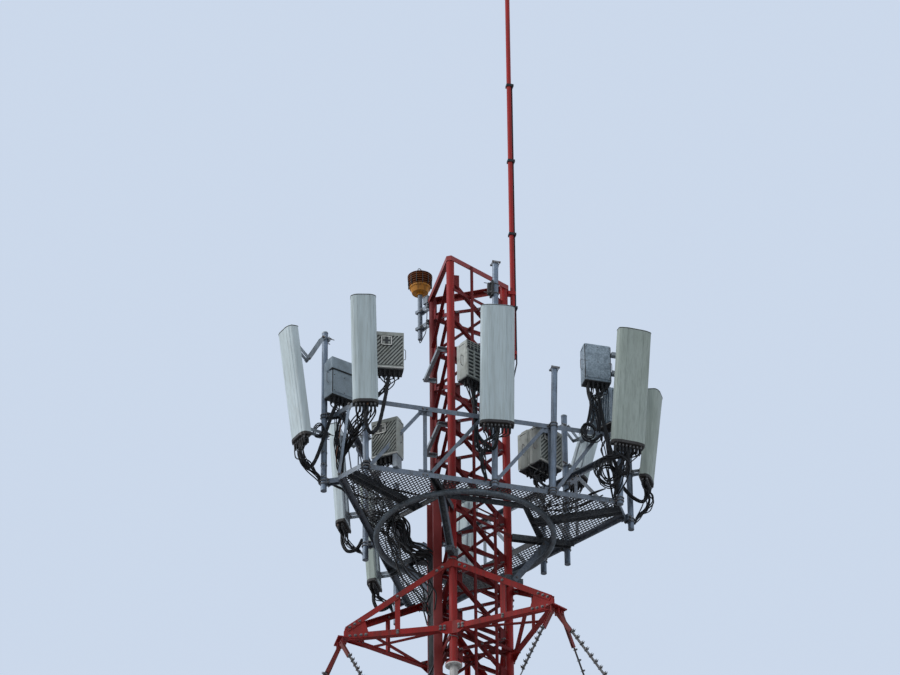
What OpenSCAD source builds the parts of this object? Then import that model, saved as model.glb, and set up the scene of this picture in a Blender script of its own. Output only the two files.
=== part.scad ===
/* [Mast] */
// Distance between the leg centres along one face
face_w = 960; // [800:10:1100]
// Outer diameter of a leg tube
leg_d = 101.6; // [88.9:0.1:114.3]
// Wall of a leg tube
leg_wall = 6.3; // [4:0.1:8]
// Height of the red top section
top_section_h = 6000; // [5900:10:6100]
// Height of the white section under it
base_section_h = 3700; // [3650:10:3900]
// Height of one cross-braced bay
bay_h = 550; // [540:1:555]
// Bays in the top section
top_bays = 10; // [8:1:10]
// Bays in the white section
base_bays = 6; // [4:1:6]
// Width of a bracing angle's flanges
brace_w = 45; // [35:1:55]
// Thickness of a bracing angle
brace_t = 5; // [4:0.5:6]

/* [Headframe] */
// Turn of the headframe's front side from leg A
side_turn = 32; // [28:1:36]
// Distance from the mast's axis to a side of the headframe
side_out = 1183; // [1150:1:1220]
// Half the length of the edge where a corner of the headframe is cut
corner_half = 198.5; // [180:0.5:220]
// Height of the lower rail's top above the white section
rail_up = 2250; // [2200:10:2300]
// Height from the lower rail to the upper rail
rail_gap = 960; // [900:10:1000]
// Width of a rail's flanges
rail_w = 65; // [55:1:75]
// Thickness of a rail
rail_t = 6; // [5:0.5:8]
// Radius of the ring pipe's centre line
ring_r = 1113; // [1080:1:1120]
// Diameter of the ring pipe
ring_d = 73; // [60:1:76]
// Diameter of an antenna pipe
pipe_d = 76; // [60:1:80]

/* [Antennas and radios] */
// Width of a wide panel antenna
wide_panel_w = 425; // [400:5:480]
// Width of a slim panel antenna
slim_panel_w = 315; // [300:5:380]
// Depth of a panel antenna
panel_d = 140; // [110:5:170]
// Width of a radio unit
radio_w = 360; // [320:5:400]
// Depth of a radio unit
radio_d = 190; // [150:5:220]
// Height of a radio unit
radio_h = 540; // [480:5:600]

/* [Star mount and guys] */
// Distance from the mast's axis to a guy's pin on a star arm
star_out = 1570; // [1500:5:1600]
// Height of the star arms' lower chords above the white section
star_low_up = 500; // [480:5:520]
// Height of the star arms' upper gussets above the white section
star_high_up = 1435; // [1400:5:1460]
// Diameter of a guy rope
guy_d = 16; // [12:1:20]

/* [Hidden] */
$fn = 48;

// Mast derived sizes
bracket_low_z = 750;
mast_h = base_section_h + top_section_h;
rail_low_z = base_section_h + rail_up;
star_low_z = base_section_h + star_low_up;
star_high_z = base_section_h + star_high_up;
leg_r = leg_d / 2;
leg_out = face_w / sqrt(3);
face_out = leg_out / 2;
brace_angle = atan(bay_h / face_w);
top_node_drop = 300;
base_node_drop = 200;
gusset_t = 8;
flange_t = 16;
flange_d = 210;
flange_pcd = 160;
flange_bolts = 6;
nut_across = 30;
nut_h = 14;
foot_t = 20;
foot_d = 260;
foot_pcd = 200;
foot_bolts = 4;
foot_hole_d = 22;

// Sets children built facing -Y at an azimuth counted from leg A towards leg B
module facing(azimuth) {
    rotate([0, 0, azimuth]) children();
}

// The frame's origin is under leg A, so the mast's axis stands behind it
module on_axis() {
    translate([0, leg_out, 0]) children();
}

// Moves children to the middle of mast face 0, 1 or 2, with local X along the face
module on_face(k) {
    facing(60 + 120 * k) translate([0, -face_out, 0]) children();
}

// Moves children to the middle of headframe side 0, 1 or 2, with local -Y outwards
module on_side(k) {
    facing(side_turn + 120 * k) translate([0, -side_out, 0]) children();
}

// Triangle with its corners cut, corners at the azimuths of the legs
module cut_triangle(apothem, corner_apothem) {
    intersection() {
        rotate(-90) circle(r = 2 * apothem, $fn = 3);
        rotate(90) circle(r = 2 * corner_apothem, $fn = 3);
    }
}

// Equal angle along X from the origin, corner edge on the X axis, flanges to +Y and +Z
module angle_bar(length, w, t) {
    cube([length, w, t]);
    cube([length, t, w]);
}

// Straight round bar between two points
module bar_between(from, to, d) {
    run = to - from;
    length = norm(run);
    translate(from)
        rotate([0, acos(run[2] / length), atan2(run[1], run[0])])
            cylinder(d = d, h = length);
}

// Ring of bolt heads with their points on a pitch circle
module bolt_ring(count, pcd, across, h) {
    for (i = [0 : count - 1])
        rotate([0, 0, 360 * i / count]) translate([pcd / 2, 0, 0]) cylinder(d = across, h = h, $fn = 6);
}

// Leg tube, open at both ends
module leg_tube(h) {
    difference() {
        cylinder(d = leg_d, h = h);
        translate([0, 0, -1]) cylinder(d = leg_d - 2 * leg_wall, h = h + 2);
    }
}

module mast_leg(azimuth) {
    color("#b5382e") facing(azimuth) translate([0, -leg_out, base_section_h]) {
        leg_tube(top_section_h);
        difference() {
            cylinder(d = flange_d, h = flange_t);
            translate([0, 0, -1]) cylinder(d = leg_d - 2 * leg_wall, h = flange_t + 2);
        }
        translate([0, 0, flange_t - 1]) bolt_ring(flange_bolts, flange_pcd, nut_across, nut_h);
    }
}

module base_legs() {
    color("#d9dbda") for (k = [0 : 2]) facing(120 * k) translate([0, -leg_out, 0]) {
        translate([0, 0, foot_t]) leg_tube(base_section_h - foot_t);
        difference() {
            cylinder(d = foot_d, h = foot_t);
            for (i = [0 : foot_bolts - 1])
                rotate([0, 0, 45 + 360 * i / foot_bolts])
                    translate([foot_pcd / 2, 0, -1]) cylinder(d = foot_hole_d, h = foot_t + 2);
        }
        translate([0, 0, base_section_h - flange_t]) difference() {
            cylinder(d = flange_d, h = flange_t);
            translate([0, 0, -1]) cylinder(d = leg_d - 2 * leg_wall, h = flange_t + 2);
        }
        translate([0, 0, base_section_h - flange_t - nut_h + 1])
            bolt_ring(flange_bolts, flange_pcd, nut_across, nut_h);
    }
}

// One cross of a bay: an outer and an inner angle, joined by a packing disc where they cross
module cross_brace() {
    end_gap = 88;
    length = norm([face_w, bay_h]) - 2 * end_gap;
    for (side = [-1, 1])
        rotate([0, side * brace_angle, 0])
            translate([-length / 2, side * (gusset_t / 2 - 1), -brace_w / 2])
                mirror([0, side > 0 ? 0 : 1, 0])
                    angle_bar(length, brace_w, brace_t);
    rotate([90, 0, 0]) cylinder(d = 38, h = gusset_t + brace_t, center = true);
}

// Plate in a face's plane that takes the bars ending at one leg
module leg_gusset(h, reach) {
    rotate([90, 0, 0]) linear_extrude(gusset_t, center = true)
        polygon([[30, -h * 0.55], [reach, -h], [reach, h], [30, h * 0.55]]);
}

// Bracing of one mast face from its top node down
module face_bracing(top_node_z, bays) {
    difference() {
        union() {
            for (i = [0 : bays - 1]) translate([0, 0, top_node_z - (i + 0.5) * bay_h]) cross_brace();
            for (i = [0 : bays], side = [0, 1])
                translate([0, 0, top_node_z - i * bay_h]) mirror([side, 0, 0])
                    translate([-face_w / 2, 0, 0]) leg_gusset(104, 155);
        }
        for (side = [-1, 1])
            translate([side * face_w / 2, 0, -1]) cylinder(d = leg_d, h = mast_h + 2);
    }
}

module mast_bracing(k) {
    color("#a5322b") on_face(k) face_bracing(mast_h - top_node_drop, top_bays);
}

module base_bracing() {
    color("#cfd2d2") for (k = [0 : 2]) on_face(k) face_bracing(base_section_h - base_node_drop, base_bays);
}

// Angle ring that lies on the leg tops
module top_frame() {
    plate_in = face_out - 22;
    rim_out = face_out + leg_r + rail_t;
    corner_out = leg_out + leg_r + rail_t;
    color("#8e2b27") translate([0, 0, mast_h]) {
        linear_extrude(rail_t) difference() {
            cut_triangle(rim_out, corner_out);
            cut_triangle(plate_in, leg_out - 20);
        }
        translate([0, 0, -rail_w]) linear_extrude(rail_w) difference() {
            cut_triangle(rim_out, corner_out);
            cut_triangle(rim_out - rail_t, corner_out - rail_t);
        }
    }
}

// Heights of the two level triangles of angles that stiffen the mast at the star arms
plan_high_z = star_high_z + 20;
plan_low_z = star_low_z + 20;

// Level triangle of angles that touch the legs from inside, crossing near each leg
module plan_triangle(z) {
    overrun = 12;
    for (k = [0 : 2]) facing(60 + 120 * k)
        translate([-face_w / 2 - overrun, -face_out + leg_r, z])
            angle_bar(face_w + 2 * overrun, brace_w, brace_t);
}

module plan_frames() {
    color("#93302b") {
        plan_triangle(plan_high_z);
        plan_triangle(plan_low_z);
    }
}

// Grating inside the mast to rest on, lying on the upper plan frame
module rest_platform() {
    bar_depth = 25;
    pitch = 58;
    opening = 46;
    span = face_out - leg_r - brace_t - 4;
    color("#7d8788") translate([0, 0, plan_high_z + brace_t]) linear_extrude(bar_depth) difference() {
        cut_triangle(span, 1.7 * span);
        intersection() {
            cut_triangle(span - 12, 1.7 * span - 12);
            for (x = [-7 : 7], y = [-7 : 7])
                translate([x * pitch, y * pitch]) square([opening, opening], center = true);
        }
    }
}

// Ladder outside face AB; its left stile goes on to the top as a climbing rail
module ladder() {
    stile_d = 40;
    rung_d = 20;
    rung_gap = 300;
    half_w = 178;
    away = 85;
    foot_gap = 150;
    bracket_h = 45;
    color("#a8352d") on_face(0) {
        for (side = [-1, 1])
            translate([side * half_w, -away, foot_gap])
                cylinder(d = stile_d, h = side < 0 ? mast_h - foot_gap - 40 : rail_low_z);
        for (z = [350 : rung_gap : rail_low_z + 100])
            translate([-half_w, -away, z]) rotate([0, 90, 0]) cylinder(d = rung_d, h = 2 * half_w);
        for (z = [925 : 3 * bay_h : mast_h])
            translate([0, -leg_r - brace_t, z]) {
                translate([-face_w / 2, 0, 0]) cube([face_w, brace_t, bracket_h]);
                for (side = [-1, 1])
                    if (side < 0 || z < rail_low_z + 100)
                        translate([side * half_w - 15, leg_r + brace_t - away, 0])
                            cube([30, away - leg_r, bracket_h]);
            }
    }
}

ladder_back = 62;
ladder_rung = 24;
rung_low_z = 260;
rung_pitch = 275;
feeder_d = 42;

// Cable ladder outside face CA with its brackets on the legs
module cable_ladder() {
    half_w = 170;
    rail_depth = 110;
    bracket_t = ladder_back - leg_r;
    top_z = mast_h - 900;
    color("#7c2d29") on_face(2) {
        for (side = [-1, 1])
            translate([side * half_w - 3, -ladder_back - rail_depth, 120]) cube([6, rail_depth, top_z - 120]);
        for (z = [rung_low_z : rung_pitch : top_z - 60])
            translate([-half_w, -ladder_back - ladder_rung, z]) cube([2 * half_w, ladder_rung - 6, 30]);
        for (z = [bracket_low_z : 1100 : top_z])
            translate([-face_w / 2 - 30, -ladder_back, z]) cube([face_w + 60, bracket_t, 60]);
    }
}

// One feeder: up the ladder, out under the floor, up through its opening and over its edge
module feeder(x, row) {
    row_gap = 46;
    start_z = 60;
    y = -ladder_back - ladder_rung - feeder_d / 2 - row * row_gap;
    first_r = 200 - row * row_gap;
    second_r = 150 + row * row_gap;
    level_run = 20;
    first_z = rail_low_z - 590;
    level_z = first_z + first_r;
    rise_y = y - first_r - level_run - second_r;
    last_z = rail_low_z + floor_t + feeder_d / 2 + row_gap - 200;
    over_end = 400;
    translate([x, y, start_z]) cylinder(d = feeder_d, h = first_z - start_z);
    translate([x, y - first_r, first_z]) rotate([90, 0, 90]) rotate_extrude(angle = 90)
        translate([first_r, 0]) circle(d = feeder_d);
    translate([x, y - first_r, level_z]) rotate([90, 0, 0]) cylinder(d = feeder_d, h = level_run);
    translate([x, y - first_r - level_run, level_z + second_r]) rotate([90, 0, 90]) rotate(180)
        rotate_extrude(angle = 90) translate([second_r, 0]) circle(d = feeder_d);
    translate([x, rise_y, level_z + second_r]) cylinder(d = feeder_d, h = last_z - level_z - second_r);
    translate([x, rise_y - first_r, last_z]) rotate([90, 0, 90]) rotate_extrude(angle = 90)
        translate([first_r, 0]) circle(d = feeder_d);
    translate([x, rise_y - first_r, last_z + first_r]) rotate([90, 0, 0])
        cylinder(d = feeder_d, h = over_end - first_r);
}

// Two rows of feeder cables in blocks on the cable ladder's rungs
module feeder_cables() {
    cable_gap = 46;
    block_h = 30;
    block_w = 5 * cable_gap + feeder_d + 16;
    block_depth = cable_gap + feeder_d + 10;
    color("#1d2022") on_face(2) {
        for (row = [0, 1], i = [0 : 5]) feeder((i - 2.5) * cable_gap, row);
        for (z = [rung_low_z + rung_pitch : 4 * rung_pitch : rail_low_z - 700])
            translate([-block_w / 2, -ladder_back - ladder_rung - block_depth, z])
                cube([block_w, block_depth, block_h]);
    }
}

rod_d = 60.3;
rod_away = 118;
rod_out = leg_out + rod_away;
rod_low_z = mast_h - 1110;
rod_h = 6000;
rod_holder_z = [rod_low_z + 60, mast_h - rail_w - 60];

// Lightning rod beside leg B: a pipe with a pointed tip, and the two holders that reach the leg
module lightning_rod() {
    holder_w = 76;
    holder_h = 50;
    tip_h = 55;
    cap_h = 8;
    color("#a93a35") facing(120) {
        translate([0, -rod_out, rod_low_z]) cylinder(d = rod_d, h = rod_h);
        translate([0, -rod_out, rod_low_z + rod_h]) cylinder(d = rod_d + 6, h = cap_h);
        translate([0, -rod_out, rod_low_z + rod_h + cap_h]) cylinder(d1 = 26, d2 = 3, h = tip_h);
        for (z = rod_holder_z)
            translate([-holder_w / 2, -rod_out - rod_d / 2 - 8, z])
                cube([holder_w, rod_out - leg_out - leg_r + rod_d / 2 + 8, holder_h]);
    }
}

earth_d = 18;
earth_away = rod_away + 40;
earth_rest = leg_r + earth_d / 2 + 0.2;
earth_bend_z = rod_low_z - 60;
// Heights of the earth cable's clips above the mast's top
EARTH_CLIPS = [-340, 820, 2000, 3240];
// Points of the earth cable: distance from leg B's centre, height
EARTH_ROUTE = [
    [earth_away, mast_h + EARTH_CLIPS[3] + 60], [earth_away, earth_bend_z],
    [earth_rest, earth_bend_z - 500], [earth_rest, earth_bend_z - 840]
];

// Earth cable beside the rod with its clips, and the lug where it joins the leg
module down_conductor() {
    clip_h = 36;
    color("#24282a") facing(120) {
        for (i = [1 : len(EARTH_ROUTE) - 1])
            bar_between(earth_point(i - 1), earth_point(i), earth_d);
        for (i = [1 : len(EARTH_ROUTE) - 2])
            translate(earth_point(i)) sphere(d = earth_d);
        for (up = EARTH_CLIPS)
            translate([0, -rod_out, mast_h + up]) difference() {
                translate([-38, -58, 0]) cube([76, 96, clip_h]);
                translate([0, 0, -1]) cylinder(d = rod_d, h = clip_h + 2);
            }
        translate([-22, -leg_out - 76, EARTH_ROUTE[3][1] - 60]) cube([44, 76 - leg_r, 66]);
    }
}

function earth_point(i) = [0, -leg_out - EARTH_ROUTE[i][0], EARTH_ROUTE[i][1]];

beacon_out = leg_out + 245;
beacon_z = mast_h + 170;

// Red-light housing: louvred bowl with a flared rim, a band and a lifting ring
module beacon() {
    bowl_r = 165;
    color("#b9802f") facing(240) translate([0, -beacon_out, beacon_z]) {
        cylinder(d = 90, h = 30);
        rotate_extrude() polygon([
            [0, 30], [105, 30], [118, 75], [132, 80], [134, 100], [126, 105], [136, 130],
            [150, 136], [152, 158], [143, 163], [150, 186], [165, 192], [165, 225], [150, 232],
            [152, 255], [163, 262], [163, 288], [146, 296], [110, 330], [50, 350], [0, 354]]);
        translate([0, 0, 390]) rotate([90, 0, 0]) rotate_extrude() translate([36, 0]) circle(d = 12);
    }
}

// Pipe of the beacon and its two arms to leg C
module beacon_bracket() {
    color("#8f9698") facing(240) {
        translate([0, -beacon_out, beacon_z - 690]) cylinder(d = 62, h = 690);
        for (z = [beacon_z - 290, beacon_z - 550]) {
            difference() {
                translate([-35, -beacon_out + 31, z]) cube([70, beacon_out - leg_out - leg_r - 31, 50]);
                translate([-29, -beacon_out + 40, z - 1]) cube([58, beacon_out - leg_out - leg_r - 60, 52]);
            }
            translate([-60, -leg_out - leg_r - 12, z - 10]) cube([120, 12, 70]);
            difference() {
                translate([-48, -beacon_out - 44, z]) cube([96, 84, 40]);
                translate([0, -beacon_out, z - 1]) cylinder(d = 62, h = 60);
            }
        }
    }
}

beam_top_z = rail_low_z - rail_t;
beam_h = 80;
hole_side_out = 800;
hole_corner_out = 860;
side_half = 2 * (side_out * sin(60) - corner_half);
side_corner_out = side_out * cos(60) + side_half * sin(60);

// Half length of a hexagon's edge whose own distance is a and whose neighbours' is b
function hex_half(a, b) = (b - a * cos(60)) / sin(60);

// Outline of the platform, drawn in by an inset on every edge
module platform_outline(inset) {
    rotate(side_turn + 60) cut_triangle(side_out - inset, side_corner_out - inset);
}

// Hexagon of the platform's open middle, grown by a margin on every edge
module platform_hole(margin) {
    rotate(side_turn + 60) intersection() {
        rotate(-90) circle(r = 2 * (hole_side_out + margin), $fn = 3);
        rotate(90) circle(r = 2 * (hole_corner_out + margin), $fn = 3);
    }
}

// Beams under the floor: one from each leg, two to each cut corner, and the hexagon round the mast
module platform_beams() {
    web_t = 8;
    kicker_out = 1060;
    kicker_drop = 600;
    collar_h = 110;
    collar_z = -kicker_drop - 45;
    stub_h = 70;
    leg_side = leg_out + leg_r;
    color("#4b5254") translate([0, 0, beam_top_z - beam_h]) {
        intersection() {
            union() {
                for (k = [0 : 2]) {
                    facing(120 * k) translate([-35, -2 * side_out, 0]) difference() {
                        cube([70, 2 * side_out - leg_side, beam_h]);
                        translate([6, -1, -1]) cube([58, 2 * side_out, beam_h - 5]);
                    }
                    facing(side_turn + 60 + 120 * k) for (side = [-1, 1])
                        translate([side * 45 - web_t / 2, -side_corner_out, 0])
                            cube([web_t, side_corner_out - hole_corner_out, beam_h]);
                }
            }
            linear_extrude(beam_h) platform_outline(rail_t);
        }
        for (k = [0 : 2]) {
            hexagon_web(side_turn + 120 * k, hole_side_out, hole_corner_out, web_t);
            hexagon_web(side_turn + 60 + 120 * k, hole_corner_out, hole_side_out, web_t);
            facing(120 * k) {
                for (side = [-1, 1])
                    bar_plate(
                        [side * 38, -kicker_out, 10], [side * 38, -leg_side - 14, -kicker_drop], 70, web_t);
                translate([0, -leg_out, collar_z]) difference() {
                    union() {
                        cylinder(r = leg_r + 12, h = collar_h);
                        translate([-38, -leg_r - 130, 10]) cube([76, 130, stub_h]);
                    }
                    translate([0, 0, -1]) cylinder(d = leg_d, h = collar_h + 2);
                }
            }
        }
    }
}

// One edge of the hexagon round the mast
module hexagon_web(azimuth, own_out, next_out, web_t) {
    half = hex_half(own_out, next_out) + 3;
    facing(azimuth) translate([-half, -own_out - web_t / 2, 0]) cube([2 * half, web_t, beam_h - 2]);
}

// Flat plate on edge between two points in one vertical plane
module bar_plate(from, to, w, t) {
    run = to - from;
    length = norm(run);
    translate(from) rotate([0, -asin(run[2] / length), atan2(run[1], run[0])])
        translate([0, -t / 2, -w / 2]) cube([length, t, w]);
}

// Bent pipe under the beams, all round the mast
module ring_pipe() {
    color("#5d6668") translate([0, 0, beam_top_z - beam_h - ring_d / 2])
        rotate_extrude($fn = 96) translate([ring_r, 0]) circle(d = ring_d);
}

// One side of the headframe: two angle rails with a truss between them
module headframe_side(k) {
    low = rail_low_z;
    high = rail_low_z + rail_gap;
    post_w = 50;
    brace_y = rail_t + 3;
    color("#7c868a") on_side(k) {
        for (z = [low, high]) translate([-side_half, 0, z - rail_w]) {
            cube([2 * side_half, rail_t, rail_w]);
            translate([0, 0, rail_w - rail_t]) cube([2 * side_half, rail_w, rail_t]);
        }
        for (x = [-835, 780])
            translate([x - post_w / 2, rail_t, low - rail_w]) cube([post_w, 6, rail_gap + rail_w - rail_t]);
        for (ends = [[-850, -1560], [-90, -790], [735, 30]])
            bar_plate([ends[0], brace_y, high - 34], [ends[1], brace_y, low - 34], 45, 6);
        bar_plate([820, brace_y, low - 34], [1430, brace_y, high - 34], 45, 6);
    }
}

// Short rails across the cut corners, at both heights
module corner_ties() {
    color("#7c868a") for (k = [0 : 2]) facing(side_turn + 60 + 120 * k)
        for (z = [rail_low_z, rail_low_z + rail_gap])
            translate([-corner_half, -side_corner_out, z - rail_w]) cube([2 * corner_half, rail_t, rail_w]);
}

floor_t = 5;

// Floor of diamond mesh round the open middle, with wider diamonds than the real mesh
module floor_mesh() {
    long = 250;
    short = 140;
    strand = 20;
    margin = 40;
    color("#474e50") translate([0, 0, rail_low_z]) linear_extrude(floor_t) difference() {
        platform_outline(2);
        platform_hole(0);
        intersection() {
            difference() {
                platform_outline(margin);
                platform_hole(margin);
            }
            rotate(side_turn) for (i = [-9 : 9], j = [-28 : 28])
                translate([(i + (j % 2 == 0 ? 0 : 0.5)) * long, j * short / 2])
                    diamond(long - 2 * strand, short - strand);
        }
    }
}

module diamond(long, short) {
    polygon([[-long / 2, 0], [0, -short / 2], [long / 2, 0], [0, short / 2]]);
}

// Each pipe: side, place along it, distance outside it, low and high end from the lower rail, lean
PIPES = [
    [0, -1602, 42, 10, 2150, -1.4], [0, 40, 42, -100, 3250, 0.9], [0, 790, 42, -80, 1780, 1.8],
    [0, 1660, 42, -100, 2100, 2.4], [1, -1640, 110, -160, 2050, 0], [1, -610, 42, -260, 1950, 0],
    [1, 1500, 42, -250, 1850, 0], [2, 1580, 210, -150, 2180, 0], [2, 0, 110, -250, 1750, 0],
    [2, -1500, 110, -350, 1750, 0], [1, -197, 42, -220, 1050, 0]
];
pipe_wall = 4;

// Moves children to a pipe's axis at the lower rail's top, leaning with the pipe
module on_pipe(p) {
    on_side(p[0]) translate([p[1], -p[2], rail_low_z]) rotate([0, p[5], 0]) children();
}

module antenna_pipes() {
    color("#87919a") for (p = PIPES) on_pipe(p) translate([0, 0, p[3]]) difference() {
        cylinder(d = pipe_d, h = p[4] - p[3]);
        translate([0, 0, -1]) cylinder(d = pipe_d - 2 * pipe_wall, h = p[4] - p[3] - 4);
    }
}

// Blocks that hold the pipes on both rails, with an arm where a pipe stands off
module pipe_clamps() {
    block_w = 110;
    block_z = -45;
    block_h = 75;
    arm_w = 60;
    color("#78828a") for (p = PIPES, z = [0, rail_gap])
        on_pipe(p) translate([0, 0, z + block_z]) difference() {
            union() {
                translate([-block_w / 2, -pipe_d / 2 - 7, 0])
                    cube([block_w, pipe_d / 2 + 7 + min(p[2], 50), block_h]);
                translate([-arm_w / 2, 0, 0]) cube([arm_w, p[2], block_h]);
            }
            translate([0, 0, -1]) cylinder(d = pipe_d, h = block_h + 2);
        }
}

// Each antenna: pipe, width, height, turn from its side, gap to the pipe's axis, low end above the rail, tilt
ANTENNAS = [
    [0, slim_panel_w, 1555, -12, 150, 705, 2], [1, wide_panel_w, 1725, -10, 190, 640, 2],
    [3, wide_panel_w, 1600, 0, 230, 590, 8],
    [4, slim_panel_w, 1300, -60, 150, 500, 7], [5, slim_panel_w, 960, 0, 150, 1040, 18],
    [6, slim_panel_w, 1600, 0, 230, 350, 4],
    [7, slim_panel_w, 1560, 46, 260, 500, 8], [8, slim_panel_w, 1500, 0, 230, 270, 4],
    [9, slim_panel_w, 1500, 0, 230, 250, 4]
];
low_boss_z = 160;
high_boss_drop = 190;
boss_t = 14;
pad_t = 10;

// Moves children to the low rear edge of an antenna, tilted forward with it
module at_antenna(i) {
    a = ANTENNAS[i];
    at_antenna_pipe(i) translate([0, -a[4], 0]) rotate([a[6], 0, 0]) children();
}

// Moves children to an antenna's pipe, at the height of the antenna's low end
module at_antenna_pipe(i) {
    a = ANTENNAS[i];
    on_pipe(PIPES[a[0]]) translate([0, 0, a[5]]) rotate([0, 0, a[3]]) children();
}

// Outline of a radome: rounded corners and a crowned front
module radome_outline(w, d) {
    corner_r = 26;
    crown_r = w * 1.15;
    intersection() {
        union() {
            translate([-w / 2 + corner_r, -d]) square([w - 2 * corner_r, d]);
            translate([-w / 2, -d + corner_r]) square([w, d - 2 * corner_r]);
            for (x = [-1, 1], y = [corner_r, d - corner_r])
                translate([x * (w / 2 - corner_r), -y]) circle(r = corner_r);
        }
        translate([0, crown_r - d]) circle(r = crown_r, $fn = 96);
    }
}

port_d = 30;
port_h = 34;
port_gap = 62;

// Panel antenna: radome, end caps, connector ports below and two bosses behind
module antenna(i) {
    w = ANTENNAS[i][1];
    h = ANTENNAS[i][2];
    cap = 45;
    lid = 14;
    ports = w > slim_panel_w ? 5 : 3;
    color("#c6d0c8") at_antenna(i) {
        translate([0, 0, cap]) linear_extrude(h - cap - lid) radome_outline(w, panel_d);
        translate([0, 3, 0]) linear_extrude(cap) radome_outline(w + 6, panel_d + 6);
        translate([0, 3, h - lid]) linear_extrude(lid) radome_outline(w + 6, panel_d + 6);
        for (x = [0 : ports - 1], y = [0.32, 0.68])
            translate([(x - (ports - 1) / 2) * port_gap, -panel_d * y, -port_h])
                cylinder(d = port_d, h = port_h + 2);
        for (z = [low_boss_z, h - high_boss_drop]) translate([-60, -2, z - 45]) cube([120, boss_t + 2, 90]);
    }
}

// Pipe clamp in two halves on two bolts
module pipe_clamp() {
    clamp_h = 50;
    bolt_d = 14;
    difference() {
        for (side = [-1, 1])
            translate([-64, side < 0 ? -54 : 5, -clamp_h / 2]) cube([128, 49, clamp_h]);
        translate([0, 0, -clamp_h / 2 - 1]) cylinder(d = pipe_d, h = clamp_h + 2);
    }
    for (x = [-53, 53]) translate([x, 68, 0]) rotate([90, 0, 0]) cylinder(d = bolt_d, h = 136);
}

// Place behind a boss at height z on the antenna, seen from its pipe
function boss_y(i, z) = let (tilt = ANTENNAS[i][6])
    -ANTENNAS[i][4] + (boss_t + pad_t / 2) * cos(tilt) - z * sin(tilt);
function boss_z(i, z) = let (tilt = ANTENNAS[i][6])
    z * cos(tilt) + (boss_t + pad_t / 2) * sin(tilt);

// Tilt brackets of one antenna: a plain one low, a folding one high
module antenna_bracket(i) {
    cheek_t = 8;
    high_z = ANTENNAS[i][2] - high_boss_drop;
    knee_drop = 95;
    at_antenna(i) for (z = [low_boss_z, high_z])
        translate([-52, boss_t, z - 32]) cube([104, pad_t, 64]);
    at_antenna_pipe(i) {
        low_y = boss_y(i, low_boss_z);
        translate([0, 0, boss_z(i, low_boss_z)]) {
            pipe_clamp();
            for (side = [-1, 1])
                translate([side * 38 - cheek_t / 2, low_y, -22]) cube([cheek_t, -low_y - 50, 44]);
        }
        high_y = boss_y(i, high_z);
        translate([0, 0, boss_z(i, high_z)]) {
            pipe_clamp();
            for (side = [-1, 1]) {
                bar_plate([side * 38, -50, 8], [side * 38, (high_y - 50) / 2, -knee_drop], 38, cheek_t);
                bar_plate([side * 31, high_y, 0], [side * 31, (high_y - 50) / 2, -knee_drop], 36, cheek_t);
            }
            translate([-52, (high_y - 50) / 2, -knee_drop]) rotate([0, 90, 0]) cylinder(d = 18, h = 104);
        }
    }
}

module antenna_brackets() {
    color("#9aa3a8") for (i = [0 : len(ANTENNAS) - 1]) antenna_bracket(i);
}

// Each radio: side, place along it, distance outside the side, turn, low end above the lower rail
RADIOS = [
    [0, -1300, 0, -8, 1390], [0, -1280, -130, -40, 190], [0, -165, -190, 25, 1530], [0, 730, -290, 28, 440],
    [0, 1440, -110, 0, 1730], [2, 1560, 20, 140, 1160], [1, -1480, -140, 0, 1280]
];
pair_gap = 20;
pair_d = 185;
pair_w = 400;

// Radio unit: body, cooling fins behind, slanted ribs and a hatch in front, ports below, bails at the sides
module radio_body(w, d, h) {
    fin_t = 6;
    bail = 26;
    hatch = w * 0.42;
    rib_w = 20;
    color("#b9b7a8") {
        translate([-w / 2, -d / 2, 0]) cube([w, d * 0.72, h]);
        for (i = [0 : 10])
            translate([-w / 2 + 8 + i * (w - 16 - fin_t) / 10, d * 0.2, 12]) cube([fin_t, d * 0.3, h - 24]);
        translate([0, -d / 2 + 1, h / 2]) rotate([90, 0, 0]) linear_extrude(15) intersection() {
            square([w - 24, h - 24], center = true);
            rotate(38) for (i = [-7 : 7]) translate([i * 56 - rib_w / 2, -h]) square([rib_w, 2 * h]);
        }
        translate([-w * 0.28, -d / 2 - 18, h * 0.56]) difference() {
            cube([hatch, 19, hatch]);
            translate([12, -1, 12]) cube([hatch - 24, 12, hatch - 24]);
        }
        for (i = [-2 : 2]) translate([i * w / 6, -d * 0.14, -port_h]) cylinder(d = port_d, h = port_h + 2);
        for (side = [0, 1]) mirror([side, 0, 0]) translate([w / 2 - 1, -d * 0.2, h * 0.3]) difference() {
            cube([bail, 10, h * 0.34]);
            translate([-1, -1, 12]) cube([bail - 9, 12, h * 0.34 - 24]);
        }
    }
}

// Moves children to a radio's place
module at_radio(i) {
    r = RADIOS[i];
    on_side(r[0]) translate([r[1], -r[2], rail_low_z + r[4]]) rotate([0, 0, r[3]]) children();
}

module radio(i) {
    at_radio(i) radio_body(radio_w, radio_d, radio_h);
}

module radio_pair() {
    at_radio(3) for (side = [-1, 1])
        translate([0, side * (pair_d + pair_gap) / 2, 0]) radio_body(pair_w, pair_d, radio_h);
}

// Each arm: radio, then a box in its side's own axes: low and high place along, low and high distance inside
ARMS = [
    [0, -1630, -1482, -60, -20], [2, 48, 88, -12, 230], [2, 15, 88, 190, 230], [3, 800, 840, -20, 112],
    [4, 1619, 1730, -18, 50], [5, 1540, 1620, -188, -132], [6, -1675, -1605, -85, 45]
];

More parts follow.
